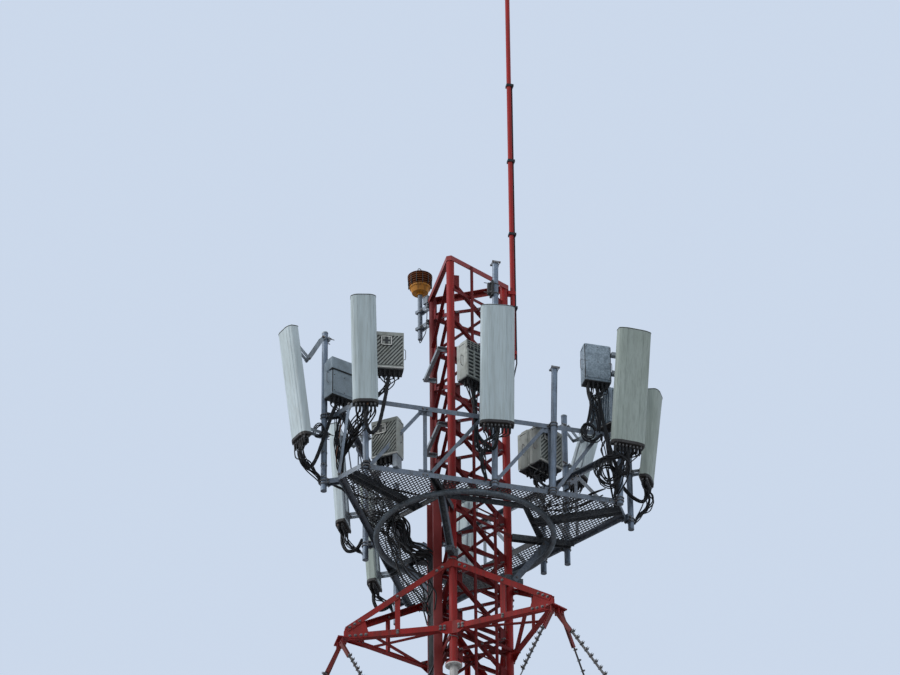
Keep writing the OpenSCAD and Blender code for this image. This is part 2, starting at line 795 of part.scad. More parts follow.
// Arms between radios and antenna pipes at two heights, and the two feet of the low radio
module radio_arms() {
    arm_h = 50;
    foot_w = 60;
    color("#8c959b") {
        for (a = ARMS, z = [110, 390]) {
            r = RADIOS[a[0]];
            difference() {
                on_side(r[0]) translate([a[1], a[3], rail_low_z + r[4] + z])
                    cube([a[2] - a[1], a[4] - a[3], arm_h]);
                for (p = PIPES) if (p[0] == r[0])
                    on_pipe(p) cylinder(d = pipe_d, h = top_section_h);
            }
        }
        feet_h = RADIOS[1][4] - floor_t;
        at_radio(1) for (side = [-1, 1])
            translate([side * 140 - foot_w / 2, -radio_d / 2, -feet_h])
                cube([foot_w, radio_d * 0.72, feet_h + 1]);
    }
}

// Star arm sizes: run from a tip to its face of the mast, and the lines on which the chords touch the legs
chord_w = 75;
chord_t = 7;
star_plate_t = 10;
tip_run = star_out - face_out;
chord_off = leg_r + star_plate_t;
to_leg = norm([face_w / 2, tip_run]);
chord_half = atan2(face_w / 2, tip_run) + asin(chord_off / to_leg);
chord_len = sqrt(to_leg * to_leg - chord_off * chord_off);
chord_rise = 60;
chord_end = chord_len - 85;
chord_slope = atan2(star_high_z - star_low_z - chord_rise, chord_len);

// Height above the lower chord of the upper chord's middle at a distance from the tip
function upper_z(x) = chord_rise + x * tan(chord_slope);

// Local X along a chord from the tip, local Y into the arm, Z above the lower chord
module along_chord(side) {
    translate([0, -tip_run, star_low_z]) rotate([0, 0, 90 - side * chord_half])
        mirror([0, side < 0 ? 1 : 0, 0]) children();
}

// Plate on edge, between the chord's leaf and the leg, from points along the chord and up
module chord_plate(points) {
    translate([0, star_plate_t, 0]) rotate([90, 0, 0]) linear_extrude(star_plate_t) polygon(points);
}

// Bent plates on the outside of each leg that take the chords of both neighbouring arms
module star_gussets() {
    meet = chord_len + chord_off * tan(30 - chord_half);
    high = upper_z(chord_len);
    color("#b3352c") for (k = [0 : 2]) on_face(k) for (side = [-1, 1]) along_chord(side) {
        chord_plate([
            [meet, -88], [meet, 88], [chord_len - 90, 88], [chord_len - 175, 40],
            [chord_len - 175, -40], [chord_len - 90, -88]]);
        chord_plate([
            [meet, high - 62], [meet, high + 62], [chord_len - 60, high + 5],
            [chord_len - 225, high - 100], [chord_len - 225, high - 175], [chord_len - 90, high - 105]]);
    }
}

// Star arm outside face k: two level chords, two rising ones, posts, a level cross and the pin plate
module star_arm(k) {
    post_x = chord_len * 0.48;
    post_w = 65;
    upper_len = (chord_end - 60) / cos(chord_slope);
    tip_low = -60;
    color("#b3352c") on_face(k) {
        for (side = [-1, 1]) along_chord(side) {
            translate([60, -chord_t, -chord_w / 2]) {
                cube([chord_end - 60, chord_t, chord_w]);
                cube([chord_end - 60, chord_w, chord_t]);
            }
            translate([60, -chord_t, upper_z(60)]) rotate([0, -chord_slope, 0])
                translate([0, 0, -chord_w / 2]) {
                    cube([upper_len, chord_t, chord_w]);
                    translate([0, 0, chord_w - chord_t]) cube([upper_len, chord_w, chord_t]);
                }
            chord_plate([
                [26, tip_low], [330, -45], [330, 45], [270, upper_z(270) + 20], [40, 110], [26, 80]]);
            translate([post_x, 0, -chord_w / 2 + chord_t]) {
                cube([post_w, 6, upper_z(post_x) + 35]);
                cube([6, post_w - 20, upper_z(post_x)]);
            }
        }
        level_brace(1);
        level_brace(-1);
        translate([-125, -tip_run - 75, star_low_z + tip_low - 10]) cube([250, 140, 16]);
    }
    color("#b3352c") for (g = GUYS) if (g[0] == k) guy_lug(tip_pin(g), guy_turn(g), star_low_z + tip_low);
}

// Point on a level chord, drawn into the arm by an inset
function chord_point(side, x, inset) = [
    side * (x * sin(chord_half) - inset * cos(chord_half)),
    -tip_run + x * cos(chord_half) + inset * sin(chord_half)];

// Flat bar of the level cross, from one chord to the other near its leg
module level_brace(side) {
    from = chord_point(side, chord_len * 0.3, 34);
    to = chord_point(-side, chord_end - 60, 34);
    run = to - from;
    translate([from[0], from[1], star_low_z - chord_w / 2 + chord_t - 1])
        rotate([0, 0, atan2(run[1], run[0])]) translate([0, -25, 0]) cube([norm(run), 50, 8]);
}

GUY_ANCHORS = [[12, 3400], [132, 3000], [252, 4500], [60, 4100], [180, 3700], [300, 3200]];
// Each guy: star arm, anchor, place of its pin on the tip, place of its lug on the anchor
GUYS = [
    [0, 0, -1, 1], [0, 1, 1, -1], [0, 3, 0, 0],
    [1, 1, -1, 1], [1, 2, 1, -1], [1, 4, 0, 0],
    [2, 2, -1, 1], [2, 0, 1, -1], [2, 5, 0, 0]
];
strap_len = 420;
strap_t = 8;
strap_w = 50;
lug_t = guy_d;
guy_pin_d = 22;

// Point at an azimuth: distance out, distance to the side, height
function place(azimuth, out, aside, z) = [
    out * sin(azimuth) + aside * cos(azimuth), -out * cos(azimuth) + aside * sin(azimuth), z];
function tip_pin(g) = place(60 + 120 * g[0], star_out + 25, 85 * g[2], star_low_z - 135);
function anchor_pin(g) = place(GUY_ANCHORS[g[1]][0], GUY_ANCHORS[g[1]][1], 75 * g[3], 190);
function guy_turn(g) = atan2(anchor_pin(g)[1] - tip_pin(g)[1], anchor_pin(g)[0] - tip_pin(g)[0]);
function guy_len(g) = norm(anchor_pin(g) - tip_pin(g));

// Upright lug with its pin hole, from a plate at base_z to just past the pin
module guy_lug(pin, turn, base_z) {
    reach = abs(base_z - pin[2]) + 30;
    low_z = min(base_z, pin[2] - 30);
    translate([pin[0], pin[1], low_z]) rotate([0, 0, turn]) difference() {
        translate([-35, -lug_t / 2, 0]) cube([70, lug_t, reach]);
        translate([0, lug_t, pin[2] - low_z]) rotate([90, 0, 0]) cylinder(d = guy_pin_d, h = 2 * lug_t);
    }
}

// Local X along a guy from its pin on the tip
module along_guy(g) {
    run = anchor_pin(g) - tip_pin(g);
    translate(tip_pin(g)) rotate([0, asin(-run[2] / norm(run)), guy_turn(g)]) children();
}

// Two straps either side of a lug, on its pin
module strap_pair() {
    for (side = [-1, 1])
        translate([-25, side * (lug_t + strap_t) / 2 - strap_t / 2, -strap_w / 2])
            cube([strap_len + 25, strap_t, strap_w]);
    translate([0, lug_t / 2 + strap_t + 10, 0]) rotate([90, 0, 0])
        cylinder(d = guy_pin_d, h = lug_t + 2 * strap_t + 20);
}

module guy_plates() {
    color("#8d3a33") for (g = GUYS) along_guy(g) {
        strap_pair();
        translate([guy_len(g), 0, 0]) mirror([1, 0, 0]) strap_pair();
    }
}

// Ropes, each gripped between its straps at both ends
module guy_ropes() {
    grip = strap_len - 60;
    color("#33383a") for (g = GUYS)
        along_guy(g) translate([grip, 0, 0]) rotate([0, 90, 0])
            cylinder(d = guy_d, h = guy_len(g) - 2 * grip);
}

module guy_anchors() {
    plate_w = 300;
    plate_depth = 260;
    plate_t = 20;
    color("#8d9496") {
        for (a = GUY_ANCHORS)
            facing(a[0]) translate([-plate_w / 2, -a[1] - plate_depth / 2, 0])
                cube([plate_w, plate_depth, plate_t]);
        for (g = GUYS) guy_lug(anchor_pin(g), guy_turn(g), plate_t - 1);
    }
}

// Points of each bundle of jumper cables with heights from the lower rail: from an antenna's ports down and on
// to a radio, a pipe or the floor
JUMPERS = [
    [[-648, -2102, 668], [-652, -2097, 490], [-622, -2010, 350], [-552, -1905, 470],
        [-495, -1790, 950], [-465, -1716, 1356]],
    [[788, -1253, 606], [786, -1248, 450], [720, -1180, 360], [600, -1100, 490],
        [445, -1005, 800], [409, -944, 1496]],
    [[2232, -397, 550], [2233, -392, 370], [2175, -340, 220], [2055, -285, 370],
        [1900, -230, 1050], [1804, -169, 1696]],
    [[2270, 379, 462], [2273, 380, 300], [2200, 330, 200], [2030, 260, 350],
        [1850, 250, 750], [1809, 250, 1246]],
    [[-1554, -1869, 460], [-1558, -1873, 280], [-1500, -1835, 110], [-1390, -1785, 230],
        [-1190, -1715, 940], [-1127, -1617, 1126]],
    [[-1592, -56, 236], [-1596, -56, 60], [-1530, -52, -80], [-1410, -48, -70], [-1330, -45, 60]],
    [[-1644, 1443, 216], [-1648, 1444, 40], [-1580, 1448, -100], [-1460, 1452, -80],
        [-1385, 1454, 40]],
    [[1026, -332, 406], [1030, -334, 290], [1058, -310, 130], [1110, -272, 29]]
];
JUMPER_RINGS = [12, 11, 12, 11, 11, 8, 8, 5];
bundle_d = 48;
bundle_sides = 8;

// Point between b and c on the smooth curve through a, b, c and d
function curve_point(a, b, c, d, t) = 0.5 * (
    2 * b + (c - a) * t + (2 * a - 5 * b + 4 * c - d) * t * t + (3 * b - a - 3 * c + d) * t * t * t);

// Point at a share t of the whole route
function route_point(points, t) = let (
    last = len(points) - 1,
    spot = min(t, 0.9999) * last,
    i = floor(spot)
) curve_point(points[max(i - 1, 0)], points[i], points[i + 1], points[min(i + 2, last)], spot - i);

function unit(v) = v / norm(v);

// Bundle of jumpers as one tube along its route
module jumper_bundle(k) {
    points = JUMPERS[k];
    rings = JUMPER_RINGS[k];
    aside = unit(cross(points[len(points) - 1] - points[0] + [1, 2, 0], [0, 0, 1]));
    centres = [for (i = [0 : rings]) [0, 0, rail_low_z] + route_point(points, i / rings)];
    turn = 360 / bundle_sides;
    verts = [for (i = [0 : rings]) let (
        along = unit(centres[min(i + 1, rings)] - centres[max(i - 1, 0)]),
        across = unit(aside - along * (along * aside)),
        up = cross(along, across)
    ) for (j = [0 : bundle_sides - 1])
        centres[i] + bundle_d / 2 * (across * cos(turn * j) + up * sin(turn * j))];
    skin = [for (i = [0 : rings - 1], j = [0 : bundle_sides - 1]) let (
        next = (j + 1) % bundle_sides,
        low = i * bundle_sides,
        high = low + bundle_sides
    ) [low + j, high + j, high + next, low + next]];
    first = [for (j = [0 : bundle_sides - 1]) j];
    last = [for (j = [bundle_sides - 1 : -1 : 0]) rings * bundle_sides + j];
    color("#17191b") polyhedron(points = verts, faces = concat([first], skin, [last]));
}

on_axis() base_legs();
on_axis() base_bracing();
on_axis() mast_leg(0);  // mast_leg_a
on_axis() mast_leg(120);  // mast_leg_b
on_axis() mast_leg(240);  // mast_leg_c
on_axis() mast_bracing(0);  // bracing_ab
on_axis() mast_bracing(1);  // bracing_bc
on_axis() mast_bracing(2);  // bracing_ca
on_axis() top_frame();
on_axis() plan_frames();
on_axis() rest_platform();
on_axis() ladder();
on_axis() cable_ladder();
on_axis() feeder_cables();
on_axis() lightning_rod();
on_axis() down_conductor();
on_axis() beacon();
on_axis() beacon_bracket();
on_axis() platform_beams();
on_axis() ring_pipe();
on_axis() headframe_side(0);  // headframe_front
on_axis() headframe_side(1);  // headframe_back
on_axis() headframe_side(2);  // headframe_left
on_axis() corner_ties();
on_axis() floor_mesh();
on_axis() antenna_pipes();
on_axis() pipe_clamps();
on_axis() antenna(0);  // antenna_front_left
on_axis() antenna(1);  // antenna_front_middle
on_axis() antenna(2);  // antenna_front_right
on_axis() antenna(3);  // antenna_back_right
on_axis() antenna(4);  // antenna_back_middle
on_axis() antenna(5);  // antenna_back_left
on_axis() antenna(6);  // antenna_left_front
on_axis() antenna(7);  // antenna_left_middle
on_axis() antenna(8);  // antenna_left_back
on_axis() antenna_brackets();
on_axis() radio(0);  // radio_front_left
on_axis() radio(1);  // radio_front_low
on_axis() radio(2);  // radio_front_middle
on_axis() radio_pair();  // radio_front_pair
on_axis() radio(4);  // radio_front_right
on_axis() radio(5);  // radio_left_front
on_axis() radio(6);  // radio_back_right
on_axis() radio_arms();
on_axis() star_gussets();
on_axis() star_arm(0);  // star_arm_right
on_axis() star_arm(1);  // star_arm_back
on_axis() star_arm(2);  // star_arm_left
on_axis() guy_plates();
on_axis() guy_ropes();
on_axis() guy_anchors();
on_axis() jumper_bundle(0);  // jumpers_front_left
on_axis() jumper_bundle(1);  // jumpers_front_middle
on_axis() jumper_bundle(2);  // jumpers_front_right
on_axis() jumper_bundle(3);  // jumpers_back_right
on_axis() jumper_bundle(4);  // jumpers_left_front
on_axis() jumper_bundle(5);  // jumpers_left_middle
on_axis() jumper_bundle(6);  // jumpers_left_back
on_axis() jumper_bundle(7);  // jumpers_front_pair
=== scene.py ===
"""Guyed cell tower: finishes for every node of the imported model, and the fine pieces fitted on it."""

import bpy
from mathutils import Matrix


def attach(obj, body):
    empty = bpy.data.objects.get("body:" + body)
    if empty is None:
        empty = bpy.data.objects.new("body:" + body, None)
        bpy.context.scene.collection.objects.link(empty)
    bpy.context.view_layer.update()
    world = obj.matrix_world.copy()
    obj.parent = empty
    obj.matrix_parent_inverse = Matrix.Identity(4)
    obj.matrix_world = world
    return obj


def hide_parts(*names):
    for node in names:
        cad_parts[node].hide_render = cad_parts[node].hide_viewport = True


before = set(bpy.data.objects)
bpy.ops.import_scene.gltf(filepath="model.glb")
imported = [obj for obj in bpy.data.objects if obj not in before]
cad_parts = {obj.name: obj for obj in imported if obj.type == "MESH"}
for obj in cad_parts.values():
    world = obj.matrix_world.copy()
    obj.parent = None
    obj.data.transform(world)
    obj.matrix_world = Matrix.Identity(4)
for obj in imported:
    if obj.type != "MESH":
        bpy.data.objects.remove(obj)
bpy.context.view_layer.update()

import copy
import logging
import math
import random
from dataclasses import dataclass
from enum import Enum
from typing import Iterable, Sequence

import bpy
from mathutils import Matrix, Vector

log = logging.getLogger("tower")

Colour = tuple[float, float, float]
Stretch = tuple[float, float, float]
Outline = Sequence[tuple[float, float]]
Socket = bpy.types.NodeSocket

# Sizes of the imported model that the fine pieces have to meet, in metres and degrees.
MAST_TOP = 9.7
FACE_WIDE = 0.96
LEG_OUT = FACE_WIDE / math.sqrt(3)
FACE_OUT = LEG_OUT / 2
LEG_R = 0.0508
SIDE_OUT = 1.183
SIDE_HALF = 1.652
SIDE_TURN = 32.0
RAIL_LOW = 5.95
RAIL_GAP = 0.96
RAIL_HALF = 0.0325
PIPE_D = 0.076
BUNDLE_D = 0.048
BOOT_DEEP = 0.022
BEACON_RUN = 0.245


def moved(x: float, y: float, z: float) -> Matrix:
    """Placement shifted by x, y and z."""
    return Matrix.Translation((x, y, z))


def turned(degrees: float, axis: str = "Z") -> Matrix:
    """Placement turned about one of its axes."""
    return Matrix.Rotation(math.radians(degrees), 4, axis)


def along(start: Vector, end: Vector) -> Matrix:
    """Placement at start with its Z axis towards end, and an arbitrary turn about it."""
    start, end = Vector(start), Vector(end)
    return Matrix.Translation(start) @ (end - start).to_track_quat("Z", "Y").to_matrix().to_4x4()


UNIT = Matrix.Identity(4)
OUTWARDS = turned(90, "X")
INWARDS = turned(-90, "X")


def face_frame(face: int) -> Matrix:
    """Placement at the middle of mast face 0, 1 or 2, with X along the face and -Y outwards."""
    return moved(0, LEG_OUT, 0) @ turned(60 + 120 * face) @ moved(0, -FACE_OUT, 0)


def side_frame(side: int) -> Matrix:
    """Placement at the middle of headframe side 0, 1 or 2, with X along the side and -Y outwards."""
    return moved(0, LEG_OUT, 0) @ turned(SIDE_TURN + 120 * side) @ moved(0, -SIDE_OUT, 0)


def put_in_scene(name: str, data: bpy.types.ID) -> bpy.types.Object:
    """Makes an object of a mesh, lamp or camera and links it to the scene.

    Args:
        name: Name of the object.
        data: What it shows.

    Returns:
        The object.
    """
    thing = bpy.data.objects.new(name, data)
    bpy.context.scene.collection.objects.link(thing)
    return thing


def smooth_path(points: Sequence[Sequence[float]], steps: int) -> list[Vector]:
    """Catmull-Rom curve through points, as the model's source draws its cable bundles.

    Args:
        points: Points that the curve passes through, in metres.
        steps: Number of equal steps of the curve's parameter.

    Returns:
        steps + 1 points on the curve.
    """
    knots = [Vector(p) for p in points]
    last = len(knots) - 1
    path = []
    for step in range(steps + 1):
        spot = min(step / steps, 0.9999) * last
        i = int(spot)
        t = spot - i
        a, b, c, d = knots[max(i - 1, 0)], knots[i], knots[i + 1], knots[min(i + 2, last)]
        path.append(0.5 * (2 * b + (c - a) * t + (2 * a - 5 * b + 4 * c - d) * t * t
                           + (3 * b - a - 3 * c + d) * t * t * t))
    return path


def path_length(path: Sequence[Vector]) -> float:
    """Length of a polyline in metres."""
    return sum((b - a).length for a, b in zip(path, path[1:]))


def carried_axes(path: Sequence[Vector]) -> list[tuple[Vector, Vector, float]]:
    """Two axes across a path, carried along it without a turn about it.

    Args:
        path: Points of the path.

    Returns:
        For each point the two axes and the distance gone so far.
    """
    tangent = (path[1] - path[0]).normalized()
    side = tangent.orthogonal().normalized()
    axes, gone = [], 0.0
    for i, point in enumerate(path):
        before = path[max(i - 1, 0)]
        new = (path[min(i + 1, len(path) - 1)] - before).normalized()
        side = tangent.rotation_difference(new) @ side
        side = (side - new * side.dot(new)).normalized()
        tangent = new
        gone += (point - before).length
        axes.append((side, new.cross(side), gone))
    return axes


def add_node(tree: bpy.types.NodeTree, kind: str, inputs: dict[str | int, object]) -> bpy.types.Node:
    """Adds a shader node and fills its inputs.

    Args:
        tree: Node tree to add to.
        kind: Type of the node, without the prefix that all of them share.
        inputs: Constant or linked socket for inputs, by their name or number.

    Returns:
        The node.
    """
    node = tree.nodes.new("ShaderNode" + kind)
    for key, value in inputs.items():
        if isinstance(value, Socket):
            tree.links.new(value, node.inputs[key])
        else:
            node.inputs[key].default_value = value
    return node


def mixed(mask: Socket, under: Colour | Socket, over: Colour | Socket) -> Socket:
    """Colour that goes from one to another with a mask.

    Args:
        mask: Share of the second colour.
        under: Colour where the mask is 0.
        over: Colour where the mask is 1.

    Returns:
        The mixed colour.
    """
    tree = mask.id_data
    node = add_node(tree, "Mix", {"Factor": mask})
    node.data_type = "RGBA"
    for value, socket in ((under, node.inputs[6]), (over, node.inputs[7])):
        if isinstance(value, tuple):
            socket.default_value = (*value, 1.0)
        else:
            tree.links.new(value, socket)
    return node.outputs[2]


class NodeSheet:
    """A material's node tree, with short calls that add nodes and link them."""

    def __init__(self, name: str) -> None:
        """Starts a material whose surface is a Principled BSDF.

        Args:
            name: The material's name.
        """
        self.material = bpy.data.materials.new(name)
        self.material.use_nodes = True
        self.tree = self.material.node_tree
        self.surface = self.tree.nodes["Principled BSDF"]
        self.place = add_node(self.tree, "TexCoord", {}).outputs["Object"]

    def noise(self, scale: float, detail: float, stretch: Stretch = (1, 1, 1),
              distortion: float = 0.0) -> Socket:
        """Noise over the object's own coordinates.

        Args:
            scale: Cycles per metre.
            detail: Octaves.
            stretch: Factors on the coordinates, small ones draw the pattern out.
            distortion: Warping of the pattern.

        Returns:
            The factor, from 0 to 1.
        """
        mapping = add_node(self.tree, "Mapping", {"Scale": stretch, "Vector": self.place})
        return add_node(self.tree, "TexNoise", {
            "Scale": scale, "Detail": detail, "Distortion": distortion, "Vector": mapping.outputs["Vector"],
        }).outputs["Fac"]

    def patches(self, scale: float, detail: float, low: float, high: float, stretch: Stretch = (1, 1, 1),
                distortion: float = 0.0) -> Socket:
        """Mask of patches: 0 where a noise is below low, 1 where it is above high."""
        return self.ramp(self.noise(scale, detail, stretch, distortion), low, high)

    def cells(self, scale: float) -> Socket:
        """Grey value of each cell of a Voronoi pattern, for zinc flowers."""
        flowers = add_node(self.tree, "TexVoronoi", {"Scale": scale, "Vector": self.place})
        return add_node(self.tree, "SeparateColor", {"Color": flowers.outputs["Color"]}).outputs["Red"]

    def ramp(self, source: Socket, low: float, high: float) -> Socket:
        """Mask that is 0 below low and 1 above high.

        Args:
            source: Value to map.
            low: Value where the mask starts.
            high: Value where the mask is full.

        Returns:
            The mask.
        """
        node = add_node(self.tree, "MapRange", {"From Min": low, "From Max": high, "Value": source})
        node.interpolation_type = "SMOOTHSTEP"
        return node.outputs["Result"]

    def scaled(self, source: Socket, low: float, high: float) -> Socket:
        """Value from 0..1 moved to low..high."""
        node = add_node(self.tree, "MapRange", {"To Min": low, "To Max": high, "Value": source})
        return node.outputs["Result"]

    def stained(self, colour: Colour | Socket, mask: Socket, share: float, stain: Colour) -> Socket:
        """Colour with a stain laid over it where a mask is, at most by a share."""
        return mixed(self.scaled(mask, 0.0, share), colour, stain)

    def finish(self, colour: Socket, rough: Socket, height: Socket, depth: float,
               **surface: float) -> bpy.types.Material:
        """Links colour, roughness and bump to the surface.

        Args:
            colour: Base colour.
            rough: Roughness.
            height: Height of the relief.
            depth: Depth of the relief in metres.
            **surface: Constants of the surface, with underscores for the spaces in their names.

        Returns:
            The finished material.
        """
        bump = add_node(self.tree, "Bump", {"Distance": depth, "Height": height})
        for key, socket in (("Base Color", colour), ("Roughness", rough), ("Normal", bump.outputs["Normal"])):
            self.tree.links.new(socket, self.surface.inputs[key])
        for key, value in surface.items():
            self.surface.inputs[key.replace("_", " ")].default_value = value
        return self.material


@dataclass(frozen=True)
class Enamel:
    """Brushed-on paint over steel: faded patches, rain streaks, soot, chips with rust under them."""

    name: str
    paint: Colour
    faded: Colour
    soot: Colour = (0.05, 0.03, 0.028)
    rust: Colour = (0.16, 0.055, 0.02)
    chips: float = 0.66
    gloss: float = 0.42

    def make(self) -> bpy.types.Material:
        """Builds the material.

        Returns:
            The material.
        """
        sheet = NodeSheet(self.name)
        faded = sheet.patches(3.1, 5, 0.38, 0.68)
        streaks = sheet.patches(26, 4, 0.42, 0.75, (1, 1, 0.06))
        specks = sheet.patches(150, 2, 0.4, 0.8)
        chips = sheet.patches(34, 6, self.chips, self.chips + 0.05, (1, 1, 0.6), 0.4)
        colour = mixed(faded, self.paint, self.faded)
        colour = sheet.stained(colour, streaks, 0.5, self.soot)
        colour = sheet.stained(colour, specks, 0.18, self.soot)
        colour = mixed(chips, colour, self.rust)
        rough = sheet.scaled(faded, self.gloss, self.gloss + 0.25)
        return sheet.finish(colour, rough, sheet.noise(210, 4), 0.0012, Specular_IOR_Level=0.22)


@dataclass(frozen=True)
class Zinc:
    """Hot-dip zinc: flowers, dull and bright areas, run-off stains and a little red rust."""

    name: str
    bright: Colour
    dull: Colour
    stain: Colour = (0.09, 0.085, 0.08)
    rust: Colour = (0.13, 0.06, 0.03)
    metal: float = 0.35
    rust_from: float = 0.7

    def make(self) -> bpy.types.Material:
        """Builds the material.

        Returns:
            The material.
        """
        sheet = NodeSheet(self.name)
        flowers = sheet.cells(75)
        streaks = sheet.patches(31, 4, 0.46, 0.8, (1, 1, 0.07))
        rusty = sheet.patches(23, 6, self.rust_from, self.rust_from + 0.06, (1, 1, 0.5), 0.6)
        colour = mixed(sheet.patches(5.5, 5, 0.35, 0.7), self.bright, self.dull)
        colour = sheet.stained(colour, flowers, 0.16, (0.62, 0.65, 0.67))
        colour = sheet.stained(colour, streaks, 0.55, self.stain)
        colour = mixed(rusty, colour, self.rust)
        rough = sheet.scaled(flowers, 0.42, 0.6)
        return sheet.finish(colour, rough, sheet.noise(120, 4), 0.0009, Metallic=self.metal)


@dataclass(frozen=True)
class Fibreglass:
    """Grey-green radome shell: chalky, with algae, dust runs and fine vertical scuffs."""

    name: str
    shell: Colour
    algae: Colour
    runs: Colour

    def make(self) -> bpy.types.Material:
        """Builds the material.

        Returns:
            The material.
        """
        sheet = NodeSheet(self.name)
        clouds = sheet.patches(3.2, 6, 0.36, 0.72, (1, 1, 0.4))
        runs = sheet.patches(24, 5, 0.45, 0.75, (1, 1, 0.02))
        scuffs = sheet.patches(75, 3, 0.42, 0.74, (1, 1, 0.03))
        spots = sheet.patches(60, 5, 0.66, 0.74)
        colour = mixed(clouds, self.shell, self.algae)
        colour = sheet.stained(colour, runs, 0.6, self.runs)
        colour = sheet.stained(colour, scuffs, 0.5, self.runs)
        colour = sheet.stained(colour, spots, 0.35, (0.25, 0.26, 0.22))
        rough, grain = sheet.scaled(clouds, 0.5, 0.7), sheet.noise(260, 3, (1, 1, 0.2))
        return sheet.finish(colour, rough, grain, 0.0006, Specular_IOR_Level=0.35)


@dataclass(frozen=True)
class Moulding:
    """Powder coat, plastic or rubber with dust on it and a fine grain."""

    name: str
    base: Colour
    dust: Colour
    gloss: float = 0.5
    grain: float = 400.0
    depth: float = 0.0004
    mottle: float = 0.0

    def make(self) -> bpy.types.Material:
        """Builds the material.

        Returns:
            The material.
        """
        sheet = NodeSheet(self.name)
        dust = sheet.patches(9, 6, 0.42, 0.74)
        runs = sheet.patches(40, 4, 0.45, 0.8, (1, 1, 0.08))
        colour = sheet.stained(self.base, dust, 0.7, self.dust)
        colour = sheet.stained(colour, runs, 0.3, self.dust)
        if self.mottle:
            colour = sheet.stained(colour, sheet.patches(48, 4, 0.44, 0.58), self.mottle, self.dust)
        rough = sheet.scaled(dust, self.gloss, self.gloss + 0.25)
        return sheet.finish(colour, rough, sheet.noise(self.grain, 3), self.depth)


